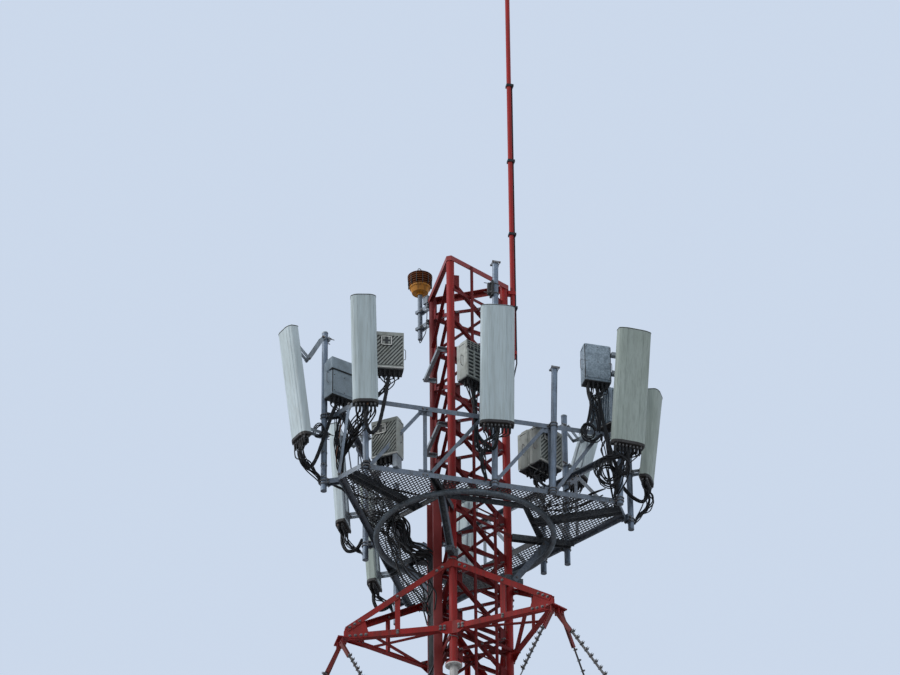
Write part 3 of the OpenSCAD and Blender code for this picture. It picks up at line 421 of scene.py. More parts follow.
class Finish(Enum):
    """The finishes that the tower's pieces wear."""

    WHITE_TUBE = Enamel("white_paint_on_tubes", (0.62, 0.63, 0.63), (0.48, 0.49, 0.49), (0.2, 0.18, 0.16))
    WHITE_ANGLE = Enamel("white_paint_on_angles", (0.55, 0.56, 0.56), (0.42, 0.43, 0.43), (0.18, 0.16, 0.15))
    RED_TUBE = Enamel("red_paint_on_tubes", (0.36, 0.012, 0.013), (0.32, 0.03, 0.028), gloss=0.46)
    # Red paint on the bracing angles, darkened as painted shade on bracing seen inside the mast.
    RED_ANGLE = Enamel("red_paint_on_angles_with_painted_shade", (0.19, 0.007, 0.009), (0.16, 0.014, 0.016), gloss=0.5)
    RED_ARM = Enamel("red_paint_on_star_arms", (0.33, 0.012, 0.012), (0.26, 0.024, 0.022), gloss=0.48)
    # Red paint darkened as painted shade, for the top frame and the cable ladder seen from below.
    RED_DARK = Enamel("dark_red_paint", (0.09, 0.006, 0.008), (0.1, 0.012, 0.013), gloss=0.55)
    RED_ROD = Enamel("red_paint_on_rod", (0.38, 0.018, 0.017), (0.34, 0.036, 0.032), gloss=0.48)
    RED_STRAP = Enamel("worn_red_paint", (0.22, 0.022, 0.018), (0.17, 0.04, 0.034), chips=0.58)
    # Red paint darkened as painted shade, for the mast leg that stands in shade.
    RED_SHADE = Enamel("red_paint_in_painted_shade", (0.14, 0.006, 0.009), (0.13, 0.012, 0.014), gloss=0.5)
    AMBER = Enamel("amber_paint", (0.2, 0.055, 0.009), (0.15, 0.046, 0.012), (0.03, 0.016, 0.01), chips=0.7)
    YELLOW = Enamel("yellow_paint", (0.58, 0.24, 0.018), (0.44, 0.19, 0.035), (0.06, 0.035, 0.018),
                    chips=0.72)
    ZINC = Zinc("zinc_on_rails", (0.12, 0.155, 0.205), (0.075, 0.1, 0.13))
    ZINC_PIPE = Zinc("zinc_on_pipes", (0.165, 0.225, 0.305), (0.095, 0.13, 0.185), rust_from=0.74)
    ZINC_PALE = Zinc("new_zinc_on_brackets", (0.3, 0.345, 0.38), (0.19, 0.22, 0.25))
    # Zinc darkened as painted shade, for the beams, rim and straps under the floor seen from below.
    ZINC_DARK = Zinc("zinc_under_floor_in_painted_shade", (0.034, 0.042, 0.052), (0.018, 0.023, 0.03))
    # Near-black zinc as painted shade, for the floor mesh seen from below.
    ZINC_MESH = Zinc("zinc_on_floor_mesh_in_painted_shade", (0.022, 0.026, 0.031), (0.011, 0.013, 0.016),
                     (0.03, 0.03, 0.03), metal=0.15)
    ZINC_GRATE = Zinc("zinc_on_rest_grating", (0.2, 0.23, 0.245), (0.12, 0.14, 0.15))
    ZINC_RING = Zinc("blue_zinc_on_ring_pipe", (0.085, 0.115, 0.14), (0.045, 0.063, 0.08), rust_from=0.75)
    ZINC_FOOT = Zinc("zinc_on_anchors", (0.33, 0.35, 0.36), (0.22, 0.24, 0.25))
    BOLT = Zinc("zinc_on_bolts", (0.17, 0.17, 0.175), (0.085, 0.08, 0.078), rust_from=0.6)
    RADOME = Fibreglass("radome_shell", (0.5, 0.605, 0.655), (0.44, 0.53, 0.56), (0.33, 0.39, 0.4))
    RADOME_PALE = Fibreglass("pale_radome_shell", (0.6, 0.71, 0.77), (0.52, 0.62, 0.66), (0.42, 0.48, 0.5))
    RADOME_WORN = Fibreglass("green_radome_shell", (0.42, 0.5, 0.475), (0.36, 0.43, 0.4), (0.26, 0.31, 0.29))
    CAP = Moulding("brown_black_end_cap", (0.018, 0.015, 0.014), (0.05, 0.046, 0.04))
    CASE = Moulding("beige_powder_coat", (0.36, 0.39, 0.37), (0.26, 0.27, 0.245), 0.5)
    CASE_DARK = Moulding("shaded_case_parts", (0.02, 0.022, 0.025), (0.05, 0.05, 0.048), 0.5)
    # Case colour darkened as painted shade, between the ribs and round the hatch's windows.
    GROOVE = Moulding("painted_shade_between_ribs", (0.07, 0.078, 0.08), (0.1, 0.1, 0.09), 0.6)
    CASE_BARE = Moulding("bare_cast_case", (0.33, 0.43, 0.52), (0.12, 0.16, 0.2), 0.45, mottle=0.5)
    CASE_PALE = Moulding("pale_cast_case", (0.42, 0.52, 0.6), (0.26, 0.32, 0.37), 0.45, mottle=0.3)
    WHITE_TRIM = Moulding("white_trim", (0.78, 0.79, 0.77), (0.55, 0.55, 0.51), 0.4)
    BROWN_JACKET = Moulding("brown_cable_jacket", (0.22, 0.085, 0.035), (0.2, 0.12, 0.08), 0.4, 300)
    JACKET = Moulding("black_cable_jacket", (0.004, 0.0045, 0.006), (0.012, 0.012, 0.0125), 0.62, 300)
    BOOT = Moulding("black_rubber_boot", (0.006, 0.006, 0.007), (0.02, 0.019, 0.018), 0.7, 300)
    ROPE = Moulding("greased_wire_rope", (0.05, 0.05, 0.052), (0.1, 0.055, 0.035), 0.4, 500)

    def material(self) -> bpy.types.Material:
        """The finish's material, made the first time it is asked for."""
        return bpy.data.materials.get(self.value.name) or self.value.make()


class Workpiece:
    """A mesh in the making: bodies are added at a placement and become one object."""

    def __init__(self, name: str, *finishes: Finish) -> None:
        """Starts an empty mesh.

        Args:
            name: Name of the object to make.
            finishes: Its finishes, which the bodies name by number.
        """
        self.name = name
        self.finishes = finishes
        self.where = UNIT
        self.points: list[Vector] = []
        self.faces: list[tuple[int, ...]] = []
        self.wears: list[int] = []

    def held(self, *steps: Matrix) -> "Workpiece":
        """The same mesh, held at another placement.

        Args:
            steps: Placements from the present one on, each within the one before.

        Returns:
            The mesh, which puts there what is added to it.
        """
        view = copy.copy(self)
        for step in steps:
            view.where = view.where @ step
        return view

    def at(self, x: float, y: float, z: float, turn: Matrix = UNIT) -> "Workpiece":
        """The same mesh, held at a local place and turned there."""
        return self.held(moved(x, y, z), turn)

    def body(self, points: Iterable[Sequence[float]], faces: Iterable[Sequence[int]], wears: int = 0) -> None:
        """Adds points and faces.

        Args:
            points: Local points.
            faces: Faces as point numbers, seen counter-clockwise from outside.
            wears: Number of the finish.
        """
        first = len(self.points)
        self.points.extend(self.where @ Vector(p) for p in points)
        for face in faces:
            self.faces.append(tuple(first + i for i in face))
            self.wears.append(wears)

    def block(self, low: Sequence[float], high: Sequence[float], wears: int = 0) -> None:
        """Adds a box between two corners.

        Args:
            low: Lowest corner.
            high: Highest corner.
            wears: Number of the finish.
        """
        corners = [(x, y, z) for z in (low[2], high[2]) for y in (low[1], high[1]) for x in (low[0], high[0])]
        self.body(corners, [
            (0, 2, 3, 1), (4, 5, 7, 6), (0, 1, 5, 4), (2, 6, 7, 3), (0, 4, 6, 2), (1, 3, 7, 5),
        ], wears)

    def stacked(self, rings: Sequence[Sequence[Sequence[float]]], wears: int = 0) -> None:
        """Adds a skin through rings of equal count, with flat ends.

        Args:
            rings: Rings from the bottom up, each counter-clockwise seen from above.
            wears: Number of the finish.
        """
        count = len(rings[0])
        faces: list[tuple[int, ...]] = []
        for r in range(len(rings) - 1):
            for i in range(count):
                j = (i + 1) % count
                faces.append((r * count + i, r * count + j, (r + 1) * count + j, (r + 1) * count + i))
        faces.append(tuple(reversed(range(count))))
        faces.append(tuple((len(rings) - 1) * count + i for i in range(count)))
        self.body([p for ring in rings for p in ring], faces, wears)

    def lathe(self, profile: Outline, sides: int = 24, wears: int = 0) -> None:
        """Adds a turned body from (radius, height) pairs, bottom up, with flat ends."""
        turns = ring_section(1.0, sides)
        self.stacked([[(r * c, r * s, z) for c, s in turns] for r, z in profile], wears)

    def rod(self, start: Sequence[float], end: Sequence[float], diameter: float, sides: int = 8,
            wears: int = 0) -> None:
        """Adds a straight round bar.

        Args:
            start: One end.
            end: The other end.
            diameter: Diameter.
            sides: Sides of the bar.
            wears: Number of the finish.
        """
        bar = self.held()
        bar.where = along(self.where @ Vector(start), self.where @ Vector(end))
        bar.lathe([(diameter / 2, 0), (diameter / 2, (Vector(end) - Vector(start)).length)], sides, wears)

    def flat_bar(self, start: Sequence[float], end: Sequence[float], width: float, thick: float,
                 wears: int = 0) -> None:
        """Adds a flat bar on edge between two points in one plane that holds the vertical.

        Args:
            start: One end.
            end: The other end.
            width: Width of the bar's flat side.
            thick: Thickness.
            wears: Number of the finish.
        """
        run = Vector(end) - Vector(start)
        bar = self.at(*start).held(turned(math.degrees(math.atan2(run.y, run.x))),
                                   turned(-math.degrees(math.asin(run.z / run.length)), "Y"))
        bar.block((0, -thick / 2, -width / 2), (run.length, thick / 2, width / 2), wears)

    def swept(self, path: Sequence[Vector], section: Outline, wears: int = 0, twist: float = 0.0) -> None:
        """Adds a body drawn along a path without turning about it, except for an even twist.

        Args:
            path: Points of the centre line.
            section: Outline, counter-clockwise.
            wears: Number of the finish.
            twist: Turn of the section in radians per metre.
        """
        path = [Vector(p) for p in path]
        rings = []
        for point, (side, across, gone) in zip(path, carried_axes(path)):
            c, s = math.cos(twist * gone), math.sin(twist * gone)
            rings.append([point + ((x * c - y * s) * side + (x * s + y * c) * across) for x, y in section])
        self.stacked(rings, wears)

    def hose(self, path: Sequence[Vector], diameter: float, sides: int = 8, wears: int = 0) -> None:
        """Adds a round cable or bent bar along a path."""
        self.swept(path, ring_section(diameter / 2, sides), wears)

    def bolt(self, across: float, length: float = 0.0, wears: int = 0) -> None:
        """Adds a bolt head with its washer on the local plane z = 0, and the threaded end behind it.

        Args:
            across: Width across the head.
            length: Reach behind the plate to a nut and thread, or 0 for none.
            wears: Number of the finish.
        """
        self.lathe([(across * 0.82, 0), (across * 0.82, across * 0.14)], 12, wears)
        self.lathe([(across * k, across * z) for k, z in ((0.58, 0.14), (0.58, 0.62), (0.5, 0.72))], 6, wears)
        if length:
            nut = self.at(0, 0, -length - across * 0.5)
            nut.lathe([(across * 0.58, 0), (across * 0.58, across * 0.5)], 6, wears)
            nut.lathe([(across * 0.3, -across * 0.5), (across * 0.3, 0)], 8, wears)

    def u_bolt(self, inner: float, bar: float, reach: float, wears: int = 0) -> None:
        """Adds a U-bolt round a bar along local Z, its legs towards local +Y, with nuts.

        Args:
            inner: Inner diameter of the bend.
            bar: Diameter of the bolt's bar.
            reach: Distance from the axis to the legs' ends.
            wears: Number of the finish.
        """
        radius = inner / 2 + bar / 2
        bend = [Vector((radius * math.cos(a), radius * math.sin(a), 0))
                for a in (math.pi + math.pi * i / 10 for i in range(11))]
        self.hose([Vector((-radius, reach, 0)), *bend, Vector((radius, reach, 0))], bar, 8, wears)
        for side in (-1, 1):
            nut = self.at(side * radius, reach - bar * 1.9, 0, INWARDS)
            nut.lathe([(bar * 1.25, -bar * 0.2), (bar * 1.25, 0)], 12, wears)
            nut.lathe([(bar * 0.98, 0), (bar * 0.98, bar * 0.8)], 6, wears)

    def make(self, slot: str, bevel: float = 0.0, replaces: Sequence[str] = (),
             sharp: float = 38.0) -> bpy.types.Object:
        """Turns the mesh into an object that rides on the tower.

        Args:
            slot: Not used.
            bevel: Width of a bevel on sharp edges, or 0.
            replaces: Nodes that the object stands for.
            sharp: Angle over which an edge stays sharp.

        Returns:
            The object.
        """
        mesh = bpy.data.meshes.new(self.name)
        mesh.from_pydata([tuple(p) for p in self.points], [], self.faces)
        for finish in self.finishes:
            mesh.materials.append(finish.material())
        mesh.polygons.foreach_set("material_index", self.wears)
        mesh.polygons.foreach_set("use_smooth", [True] * len(self.faces))
        mesh.update()
        mesh.set_sharp_from_angle(angle=math.radians(sharp))
        thing = put_in_scene(self.name, mesh)
        if bevel:
            modifier = thing.modifiers.new("edges", "BEVEL")
            modifier.width = bevel
            modifier.segments = 2
            modifier.angle_limit = math.radians(50)
            modifier.harden_normals = True
        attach(thing, "root")
        if replaces:
            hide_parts(*replaces)
        log.info("%s: %d faces", self.name, len(self.faces))
        return thing


def ring_section(radius: float, sides: int) -> Outline:
    """Round outline with a number of sides."""
    return [(radius * math.cos(2 * math.pi * i / sides), radius * math.sin(2 * math.pi * i / sides))
            for i in range(sides)]


def rounded_box_section(width: float, depth: float, corner: float, steps: int = 4) -> Outline:
    """Outline of a rectangle about the origin with round corners.

    Args:
        width: Size along X.
        depth: Size along Y.
        corner: Radius of the corners.
        steps: Steps round each corner.

    Returns:
        The outline, counter-clockwise.
    """
    outline = []
    for quarter, (sx, sy) in enumerate(((1, 1), (-1, 1), (-1, -1), (1, -1))):
        centre = (sx * (width / 2 - corner), sy * (depth / 2 - corner))
        for i in range(steps + 1):
            a = math.pi / 2 * (quarter + i / steps)
            outline.append((centre[0] + corner * math.cos(a), centre[1] + corner * math.sin(a)))
    return outline


@dataclass(frozen=True)
class PipeSpot:
    """Where an antenna pipe stands on the headframe."""

    side: int
    along: float
    out: float
    low: float
    high: float
    lean: float = 0.0

    def frame(self) -> Matrix:
        """Placement on the pipe's axis, with -Y away from the side and heights from the ground."""
        foot = side_frame(self.side) @ moved(self.along, -self.out, RAIL_LOW)
        return foot @ turned(self.lean, "Y") @ moved(0, 0, -RAIL_LOW)


@dataclass(frozen=True)
class AntennaSpot:
    """Where a panel antenna hangs on its pipe."""

    node: str
    pipe: int
    width: float
    height: float
    yaw: float
    gap: float
    low: float
    tilt: float
    lift: float = 0.0

    def pipe_frame(self) -> Matrix:
        """Placement on the pipe's axis at the height of the antenna's low end."""
        return PIPES[self.pipe].frame() @ moved(0, 0, self.low) @ turned(self.yaw)

    def frame(self) -> Matrix:
        """Placement at the antenna's low rear edge, leaning with it."""
        return self.pipe_frame() @ moved(0, -self.gap, 0) @ turned(self.tilt, "X")

    def pads(self) -> tuple[float, float]:
        """Heights of the low and the high bracket's pad on the antenna's back."""
        return 0.16, self.height - 0.19


@dataclass(frozen=True)
class RadioSpot:
    """Where a radio unit hangs."""

    node: str
    side: int
    along: float
    out: float
    yaw: float
    low: float

    def frame(self) -> Matrix:
        """Placement at the middle of the unit's underside, with -Y out of its front."""
        return side_frame(self.side) @ moved(self.along, -self.out, self.low) @ turned(self.yaw)


PIPES = [
    PipeSpot(0, -1.602, 0.042, 5.96, 8.1, -1.4), PipeSpot(0, 0.04, 0.042, 5.85, 9.2, 0.9),
    PipeSpot(0, 0.79, 0.042, 5.87, 7.73, 1.8), PipeSpot(0, 1.66, 0.042, 5.85, 8.05, 2.4),
    PipeSpot(1, -1.64, 0.11, 5.79, 8.0), PipeSpot(1, -0.61, 0.042, 5.69, 7.9),
    PipeSpot(1, 1.5, 0.042, 5.7, 7.8), PipeSpot(2, 1.58, 0.21, 5.8, 8.13),
    PipeSpot(2, 0.0, 0.11, 5.7, 7.7), PipeSpot(2, -1.5, 0.11, 5.6, 7.7),
    PipeSpot(1, -0.197, 0.042, 5.73, 7.0),
]
SLIM, WIDE = 0.315, 0.425
ANTENNAS = [
    AntennaSpot("antenna_front_left", 0, SLIM, 1.555, -12, 0.15, 6.655, 2),
    AntennaSpot("antenna_front_middle", 1, WIDE, 1.725, -10, 0.19, 6.59, 2),
    AntennaSpot("antenna_front_right", 3, WIDE, 1.6, 0, 0.23, 6.54, 8),
    AntennaSpot("antenna_back_right", 4, SLIM, 1.3, -60, 0.15, 6.45, 7),
    AntennaSpot("antenna_back_middle", 5, SLIM, 0.96, 0, 0.15, 6.99, 18),
    AntennaSpot("antenna_back_left", 6, SLIM, 1.6, 0, 0.23, 6.3, 4),
    AntennaSpot("antenna_left_front", 7, SLIM, 1.56, 46, 0.26, 6.45, 8, 0.22),
    AntennaSpot("antenna_left_middle", 8, SLIM, 1.5, 0, 0.23, 6.22, 4),
    AntennaSpot("antenna_left_back", 9, SLIM, 1.5, 0, 0.23, 6.2, 4),
]
RADIOS = [
    RadioSpot("radio_front_left", 0, -1.3, 0.0, -8, 7.34),
    RadioSpot("radio_front_low", 0, -1.28, -0.13, -40, 6.14),
    RadioSpot("radio_front_middle", 0, -0.165, -0.19, 25, 7.48),
    RadioSpot("radio_front_pair", 0, 0.73, -0.29, 28, 6.39),
    RadioSpot("radio_front_right", 0, 1.44, -0.11, 0, 7.68),
    RadioSpot("radio_left_front", 2, 1.56, 0.02, 140, 7.11),
    RadioSpot("radio_back_right", 1, -1.48, -0.14, 0, 7.23),
]


@dataclass
class Viewpoint:
    """The photograph's camera: a long lens, far off and low, looking up at the headframe."""

    yaw: float = 16.232
    rise: float = 33.324
    roll: float = 0.511
    distance: float = 60.0
    height: float = -0.870
    aside: float = -0.165
    lens: float = 186.16

    def place(self) -> None:
        """Makes the camera and looks through it."""
        yaw, rise, roll = (math.radians(v) for v in (self.yaw, self.rise, self.roll))
        back = Vector((math.sin(yaw) * math.cos(rise), -math.cos(yaw) * math.cos(rise), -math.sin(rise)))
        right = Vector((math.cos(yaw), math.sin(yaw), 0))
        up = back.cross(right)
        c, s = math.cos(roll), math.sin(roll)
        right, up = right * c - up * s, right * s + up * c
        spot = (Vector((0, LEG_OUT, MAST_TOP + self.height))
                + Vector((math.cos(yaw), math.sin(yaw), 0)) * self.aside + back * self.distance)
        data = bpy.data.cameras.new("camera")
        data.lens = self.lens
        data.sensor_width = 36.0
        data.clip_end = 300.0
        camera = put_in_scene("camera", data)
        camera.matrix_world = Matrix.Translation(spot) @ Matrix((right, up, back)).transposed().to_4x4()
        bpy.context.scene.camera = camera


@dataclass
class Studio:
    """Plain pale floor and soft light. The floor shows from above only, as the camera stands under it."""

    floor_size: float = 60.0
    sky: float = 0.8
    ground: float = 0.12
    daylight: Colour = (0.93, 0.965, 1.0)
    backdrop: Colour = (0.6, 0.69, 0.83)
    floor_lit: Colour = (0.3, 0.3, 0.31)
    floor_seen: Colour = (0.76, 0.78, 0.8)

    def build(self) -> None:
        """Makes the world, the lamps and the floor."""
        bpy.context.scene.view_settings.view_transform = "Standard"
        self._light_world()
        self._hang_lamp("key", (-17, -11, 19), 9.0, 2700.0, (1.0, 0.985, 0.96))
        self._hang_lamp("fill", (15, -12, 14), 12.0, 350.0, (0.94, 0.97, 1.0))
        self._lay_floor()

    def _light_world(self) -> None:
        """Lights the scene evenly from above, less from below, and shows the backdrop to the camera."""
        world = bpy.data.worlds.new("studio")
        bpy.context.scene.world = world
        world.use_nodes = True
        tree = world.node_tree
        tree.nodes.clear()
        place = add_node(tree, "TexCoord", {}).outputs["Generated"]
        upwards = add_node(tree, "SeparateXYZ", {"Vector": place}).outputs["Z"]
        strength = add_node(tree, "MapRange", {"From Min": -0.2, "From Max": 0.5, "To Min": self.ground,
                                               "To Max": self.sky, "Value": upwards})
        strength.interpolation_type = "SMOOTHSTEP"
        light = add_node(tree, "Background",
                         {"Color": (*self.daylight, 1.0), "Strength": strength.outputs["Result"]})
        seen = add_node(tree, "Background", {"Color": (*self.backdrop, 1.0)})
        rays = add_node(tree, "LightPath", {})
        direct = rays.outputs["Is Camera Ray"]
        for kind in ("Is Glossy Ray", "Is Transmission Ray"):
            both = add_node(tree, "Math", {0: direct, 1: rays.outputs[kind]})
            both.use_clamp = True
            direct = both.outputs[0]
        mix = add_node(tree, "MixShader", {"Fac": direct, 1: light.outputs[0], 2: seen.outputs[0]})
        add_node(tree, "OutputWorld", {"Surface": mix.outputs[0]})

    def _hang_lamp(self, name: str, spot: Colour, size: float, power: float, colour: Colour) -> None:
        """Hangs a soft box that faces the headframe.

        Args:
            name: Name of the lamp.
            spot: Its place.
            size: Its width and height.
            power: Its power in watts.
            colour: Its colour.
        """
        data = bpy.data.lights.new(name, "AREA")
        data.size = size
        data.energy = power
        data.color = colour
        lamp = put_in_scene(name, data)
        lamp.location = spot
        lamp.rotation_euler = (Vector((0, LEG_OUT, 7)) - Vector(spot)).to_track_quat("-Z", "Y").to_euler()

    def _lay_floor(self) -> None:
        """Lays the floor, which is clear from below."""
        half = self.floor_size / 2
        mesh = bpy.data.meshes.new("studio_floor")
        corners = [(-half, -half, 0), (half, -half, 0), (half, half, 0), (-half, half, 0)]
        mesh.from_pydata(corners, [], [(0, 1, 2, 3)])
        floor = put_in_scene("studio_floor", mesh)
        floor.location = (0, LEG_OUT, -0.001)
        material = bpy.data.materials.new("studio_floor")
        material.use_nodes = True
        tree = material.node_tree
        tree.nodes.clear()
        rays = add_node(tree, "LightPath", {})
        tone = mixed(rays.outputs["Is Camera Ray"], self.floor_lit, self.floor_seen)
        matte = add_node(tree, "BsdfDiffuse", {"Color": tone})
        clear = add_node(tree, "BsdfTransparent", {})
        side = add_node(tree, "NewGeometry", {})
        mix = add_node(tree, "MixShader", {
            "Fac": side.outputs["Backfacing"], 1: matte.outputs[0], 2: clear.outputs[0],
        })
        add_node(tree, "OutputMaterial", {"Surface": mix.outputs[0]})
        mesh.materials.append(material)


@dataclass
class JumperBundle:
    """Jumper cables that hang in one loop from an antenna's ports, held in a loose bundle."""

    node: str
    route: Sequence[Sequence[float]]
    rings: int
    strands: int = 7
    cable_d: float = 0.0145
    lay: float = 0.85
    ties: tuple[float, ...] = (0.3, 0.62)

    def build(self) -> None:
        knots = [Vector(p) / 1000 + Vector((0, LEG_OUT, 0)) for p in self.route]
        path = smooth_path(knots, self.rings * 5)
        axes = carried_axes(path)
        piece = Workpiece(self.node.replace("jumpers", "jumper_cables"), Finish.JACKET, Finish.BOOT)
        for strand in range(self.strands):
            out = (BUNDLE_D - self.cable_d) / 2 if strand else 0.0
            start = 2 * math.pi * strand / (self.strands - 1)
            line = []
            for point, (side, across, gone) in zip(path, axes):
                a = start + 2 * math.pi * gone / self.lay
                line.append(point + out * (math.cos(a) * side + math.sin(a) * across))
            piece.hose(line, self.cable_d, sides=6)
        for share in self.ties:
            i = int(share * (len(path) - 1))
            tie = piece.held(along(path[i], path[i + 1]))
            tie.lathe([(BUNDLE_D / 2 - 0.0005, -0.005), (BUNDLE_D / 2, -0.0035), (BUNDLE_D / 2, 0.0035),
                       (BUNDLE_D / 2 - 0.0005, 0.005)], 16, 1)
        thing = piece.make("cable_jacket", replaces=[self.node])
        log.info("%s: %.3f m long", thing.name, path_length(path))


JUMPERS = [
    JumperBundle("jumpers_front_left", [[-648, -2102, 6618], [-652, -2097, 6440], [-622, -2010, 6300],
                                        [-552, -1905, 6420], [-495, -1790, 6900], [-465, -1716, 7306]], 12),
    JumperBundle("jumpers_front_middle", [[788, -1253, 6556], [786, -1248, 6400], [720, -1180, 6310],
                                          [600, -1100, 6440], [445, -1005, 6750], [409, -944, 7446]], 11),
    JumperBundle("jumpers_front_right", [[2232, -397, 6500], [2233, -392, 6320], [2175, -340, 6170],
                                         [2055, -285, 6320], [1900, -230, 7000], [1804, -169, 7646]], 12),
    JumperBundle("jumpers_back_right", [[2270, 379, 6412], [2273, 380, 6250], [2200, 330, 6150],
                                        [2030, 260, 6300], [1850, 250, 6700], [1809, 250, 7196]], 11),
    JumperBundle("jumpers_left_front", [[-1554, -1869, 6410], [-1558, -1873, 6230], [-1500, -1835, 6060],
                                        [-1390, -1785, 6180], [-1190, -1715, 6890], [-1127, -1617, 7076]], 11),
    JumperBundle("jumpers_left_middle", [[-1592, -56, 6186], [-1596, -56, 6010], [-1530, -52, 5870],
                                         [-1410, -48, 5880], [-1330, -45, 6010]], 8),
    JumperBundle("jumpers_left_back", [[-1644, 1443, 6166], [-1648, 1444, 5990], [-1580, 1448, 5850],
                                       [-1460, 1452, 5870], [-1385, 1454, 5990]], 8),
    JumperBundle("jumpers_front_pair", [[1026, -332, 6356], [1030, -334, 6240], [1058, -310, 6080],
                                        [1110, -272, 5979]], 5),
]


def radome_section(width: float, depth: float) -> Outline:
    """Outline of a radome: flat back, round corners, a front in five bays with fine grooves between.

    Args:
        width: Width across.
        depth: Depth from the back at y = 0 to the front.

    Returns:
        The outline, counter-clockwise.
    """
    half = [(0.235 * width, -depth), (0.245 * width, -depth + 0.004), (0.255 * width, -depth + 0.001),
            (0.375 * width, -depth + 0.012), (0.385 * width, -depth + 0.017), (0.395 * width, -depth + 0.015)]
    centre, radius = (width / 2 - 0.036, -depth + 0.058), 0.036
    half += [(centre[0] + radius * math.cos(a), centre[1] + radius * math.sin(a))
             for a in (math.radians(d) for d in (-72, -56, -40, -24, -8, 0))]
    half += [(width / 2 - 0.016 + 0.016 * math.cos(a), -0.016 + 0.016 * math.sin(a))
             for a in (math.radians(d) for d in (0, 30, 60, 90))]
    return half + [(-x, y) for x, y in reversed(half)]


def grown(section: Outline, by: float, middle_y: float) -> Outline:
    """Outline grown by about a distance on every side, round a point on the Y axis.

    Args:
        section: The outline.
        by: The distance, less than 0 to shrink.
        middle_y: Place of the point.

    Returns:
        The grown outline.
    """
    reach_x = max(x for x, _ in section)
    reach_y = (max(y for _, y in section) - min(y for _, y in section)) / 2
    return [(x * (1 + by / reach_x), middle_y + (y - middle_y) * (1 + by / reach_y)) for x, y in section]


def level(section: Outline, z: float) -> list[tuple[float, float, float]]:
    """Outline as a ring at a height."""
    return [(x, y, z) for x, y in section]


SHELLS = {"antenna_back_middle": Finish.RADOME_PALE, "antenna_left_middle": Finish.RADOME_PALE,
          "antenna_left_front": Finish.RADOME_PALE, "antenna_front_right": Finish.RADOME_WORN,
          "antenna_back_right": Finish.RADOME_WORN, "antenna_left_back": Finish.RADOME_WORN}


@dataclass
class PanelAntenna:
    """Sector panel: grooved radome between a seamed lid and a dark socket plate, with ports and back rails."""

    spot: AntennaSpot
    finish: Finish = Finish.RADOME
    depth: float = 0.14
    cap: float = 0.045
    lid: float = 0.014
    port_gap: float = 0.046
    port_rows: tuple[float, ...] = (0.32, 0.68)

    def build(self) -> None:
        """Makes the antenna in place of its node."""
        piece = Workpiece(self.spot.node + "_panel", self.finish, Finish.CAP, Finish.BOLT, Finish.BOOT,
                          Finish.ZINC_PALE).held(self.spot.frame())
        self._shell(piece)
        self._ports(piece)
        self._back(piece)
        piece.make("radome", replaces=[self.spot.node], sharp=9)

    def _shell(self, piece: Workpiece) -> None:
        """Adds the radome, the socket plate below it and the lid, and screws round the plate.

        Args:
            piece: Mesh to add to, held at the antenna.
        """
        height, mid = self.spot.height, -self.depth / 2
        shell, top = radome_section(self.spot.width, self.depth), self.spot.height - self.lid
        piece.stacked([level(shell, self.cap), level(shell, top)])
        for wears, rings in (
                (1, ((-0.012, 0), (0, 0.004), (0.003, 0.008), (0.003, self.cap - 0.003), (0, self.cap))),
                (1, ((0.0, top), (0.003, top + 0.002), (0.003, height - 0.005))),
                (0, ((0.003, height - 0.005), (0.0, height - 0.001), (-0.02, height)))):
            piece.stacked([level(grown(shell, by, mid), z) for by, z in rings], wears)
        for x, y in grown(shell, 0.002, mid)[3::5]:
            piece.at(x * 0.97, mid + (y - mid) * 0.94, 0.001, turned(180, "X")).bolt(0.009, wears=2)

    def _ports(self, piece: Workpiece) -> None:
        """Adds the connector ports below, each with its nut and rubber boot.

        Args:
            piece: Mesh to add to, held at the antenna.
        """
        for x, y in self.port_spots():
            port = piece.at(x, y, 0)
            port.lathe([(0.0165, -0.004), (0.0165, 0.002)], 10, 2)
            port.lathe([(0.0155, -0.026), (0.0155, -0.004)], 6, 2)
            port.lathe([(0.0095, -0.098), (0.0108, -0.092), (0.0135, -0.058), (0.0142, -0.03),
                        (0.0128, -0.024)], 8, 3)

    def port_spots(self) -> Outline:
        """Places of the ports on the underside.

        Returns:
            Two rows of eight ports, or of six under a slim panel.
        """
        half = 3.5 if self.spot.width > SLIM else 2.5
        return [((i - half) * self.port_gap, -self.depth * row) for i in range(int(2 * half + 1))
                for row in self.port_rows]

    def _back(self, piece: Workpiece) -> None:
        """Adds the stiffening rails and the two bracket pads behind.

        Args:
            piece: Mesh to add to, held at the antenna.
        """
        for x in (-0.085, 0.085):
            piece.block((x - 0.009, -0.002, 0.07), (x + 0.009, 0.011, self.spot.height - 0.06), 4)
        for z in self.spot.pads():
            piece.block((-0.06, -0.002, z - 0.045), (0.06, 0.014, z + 0.045), 4)
            for x in (-0.048, 0.048):
                for dz in (-0.032, 0.032):
                    piece.at(x, 0.014, z + dz, INWARDS).bolt(0.013, wears=2)


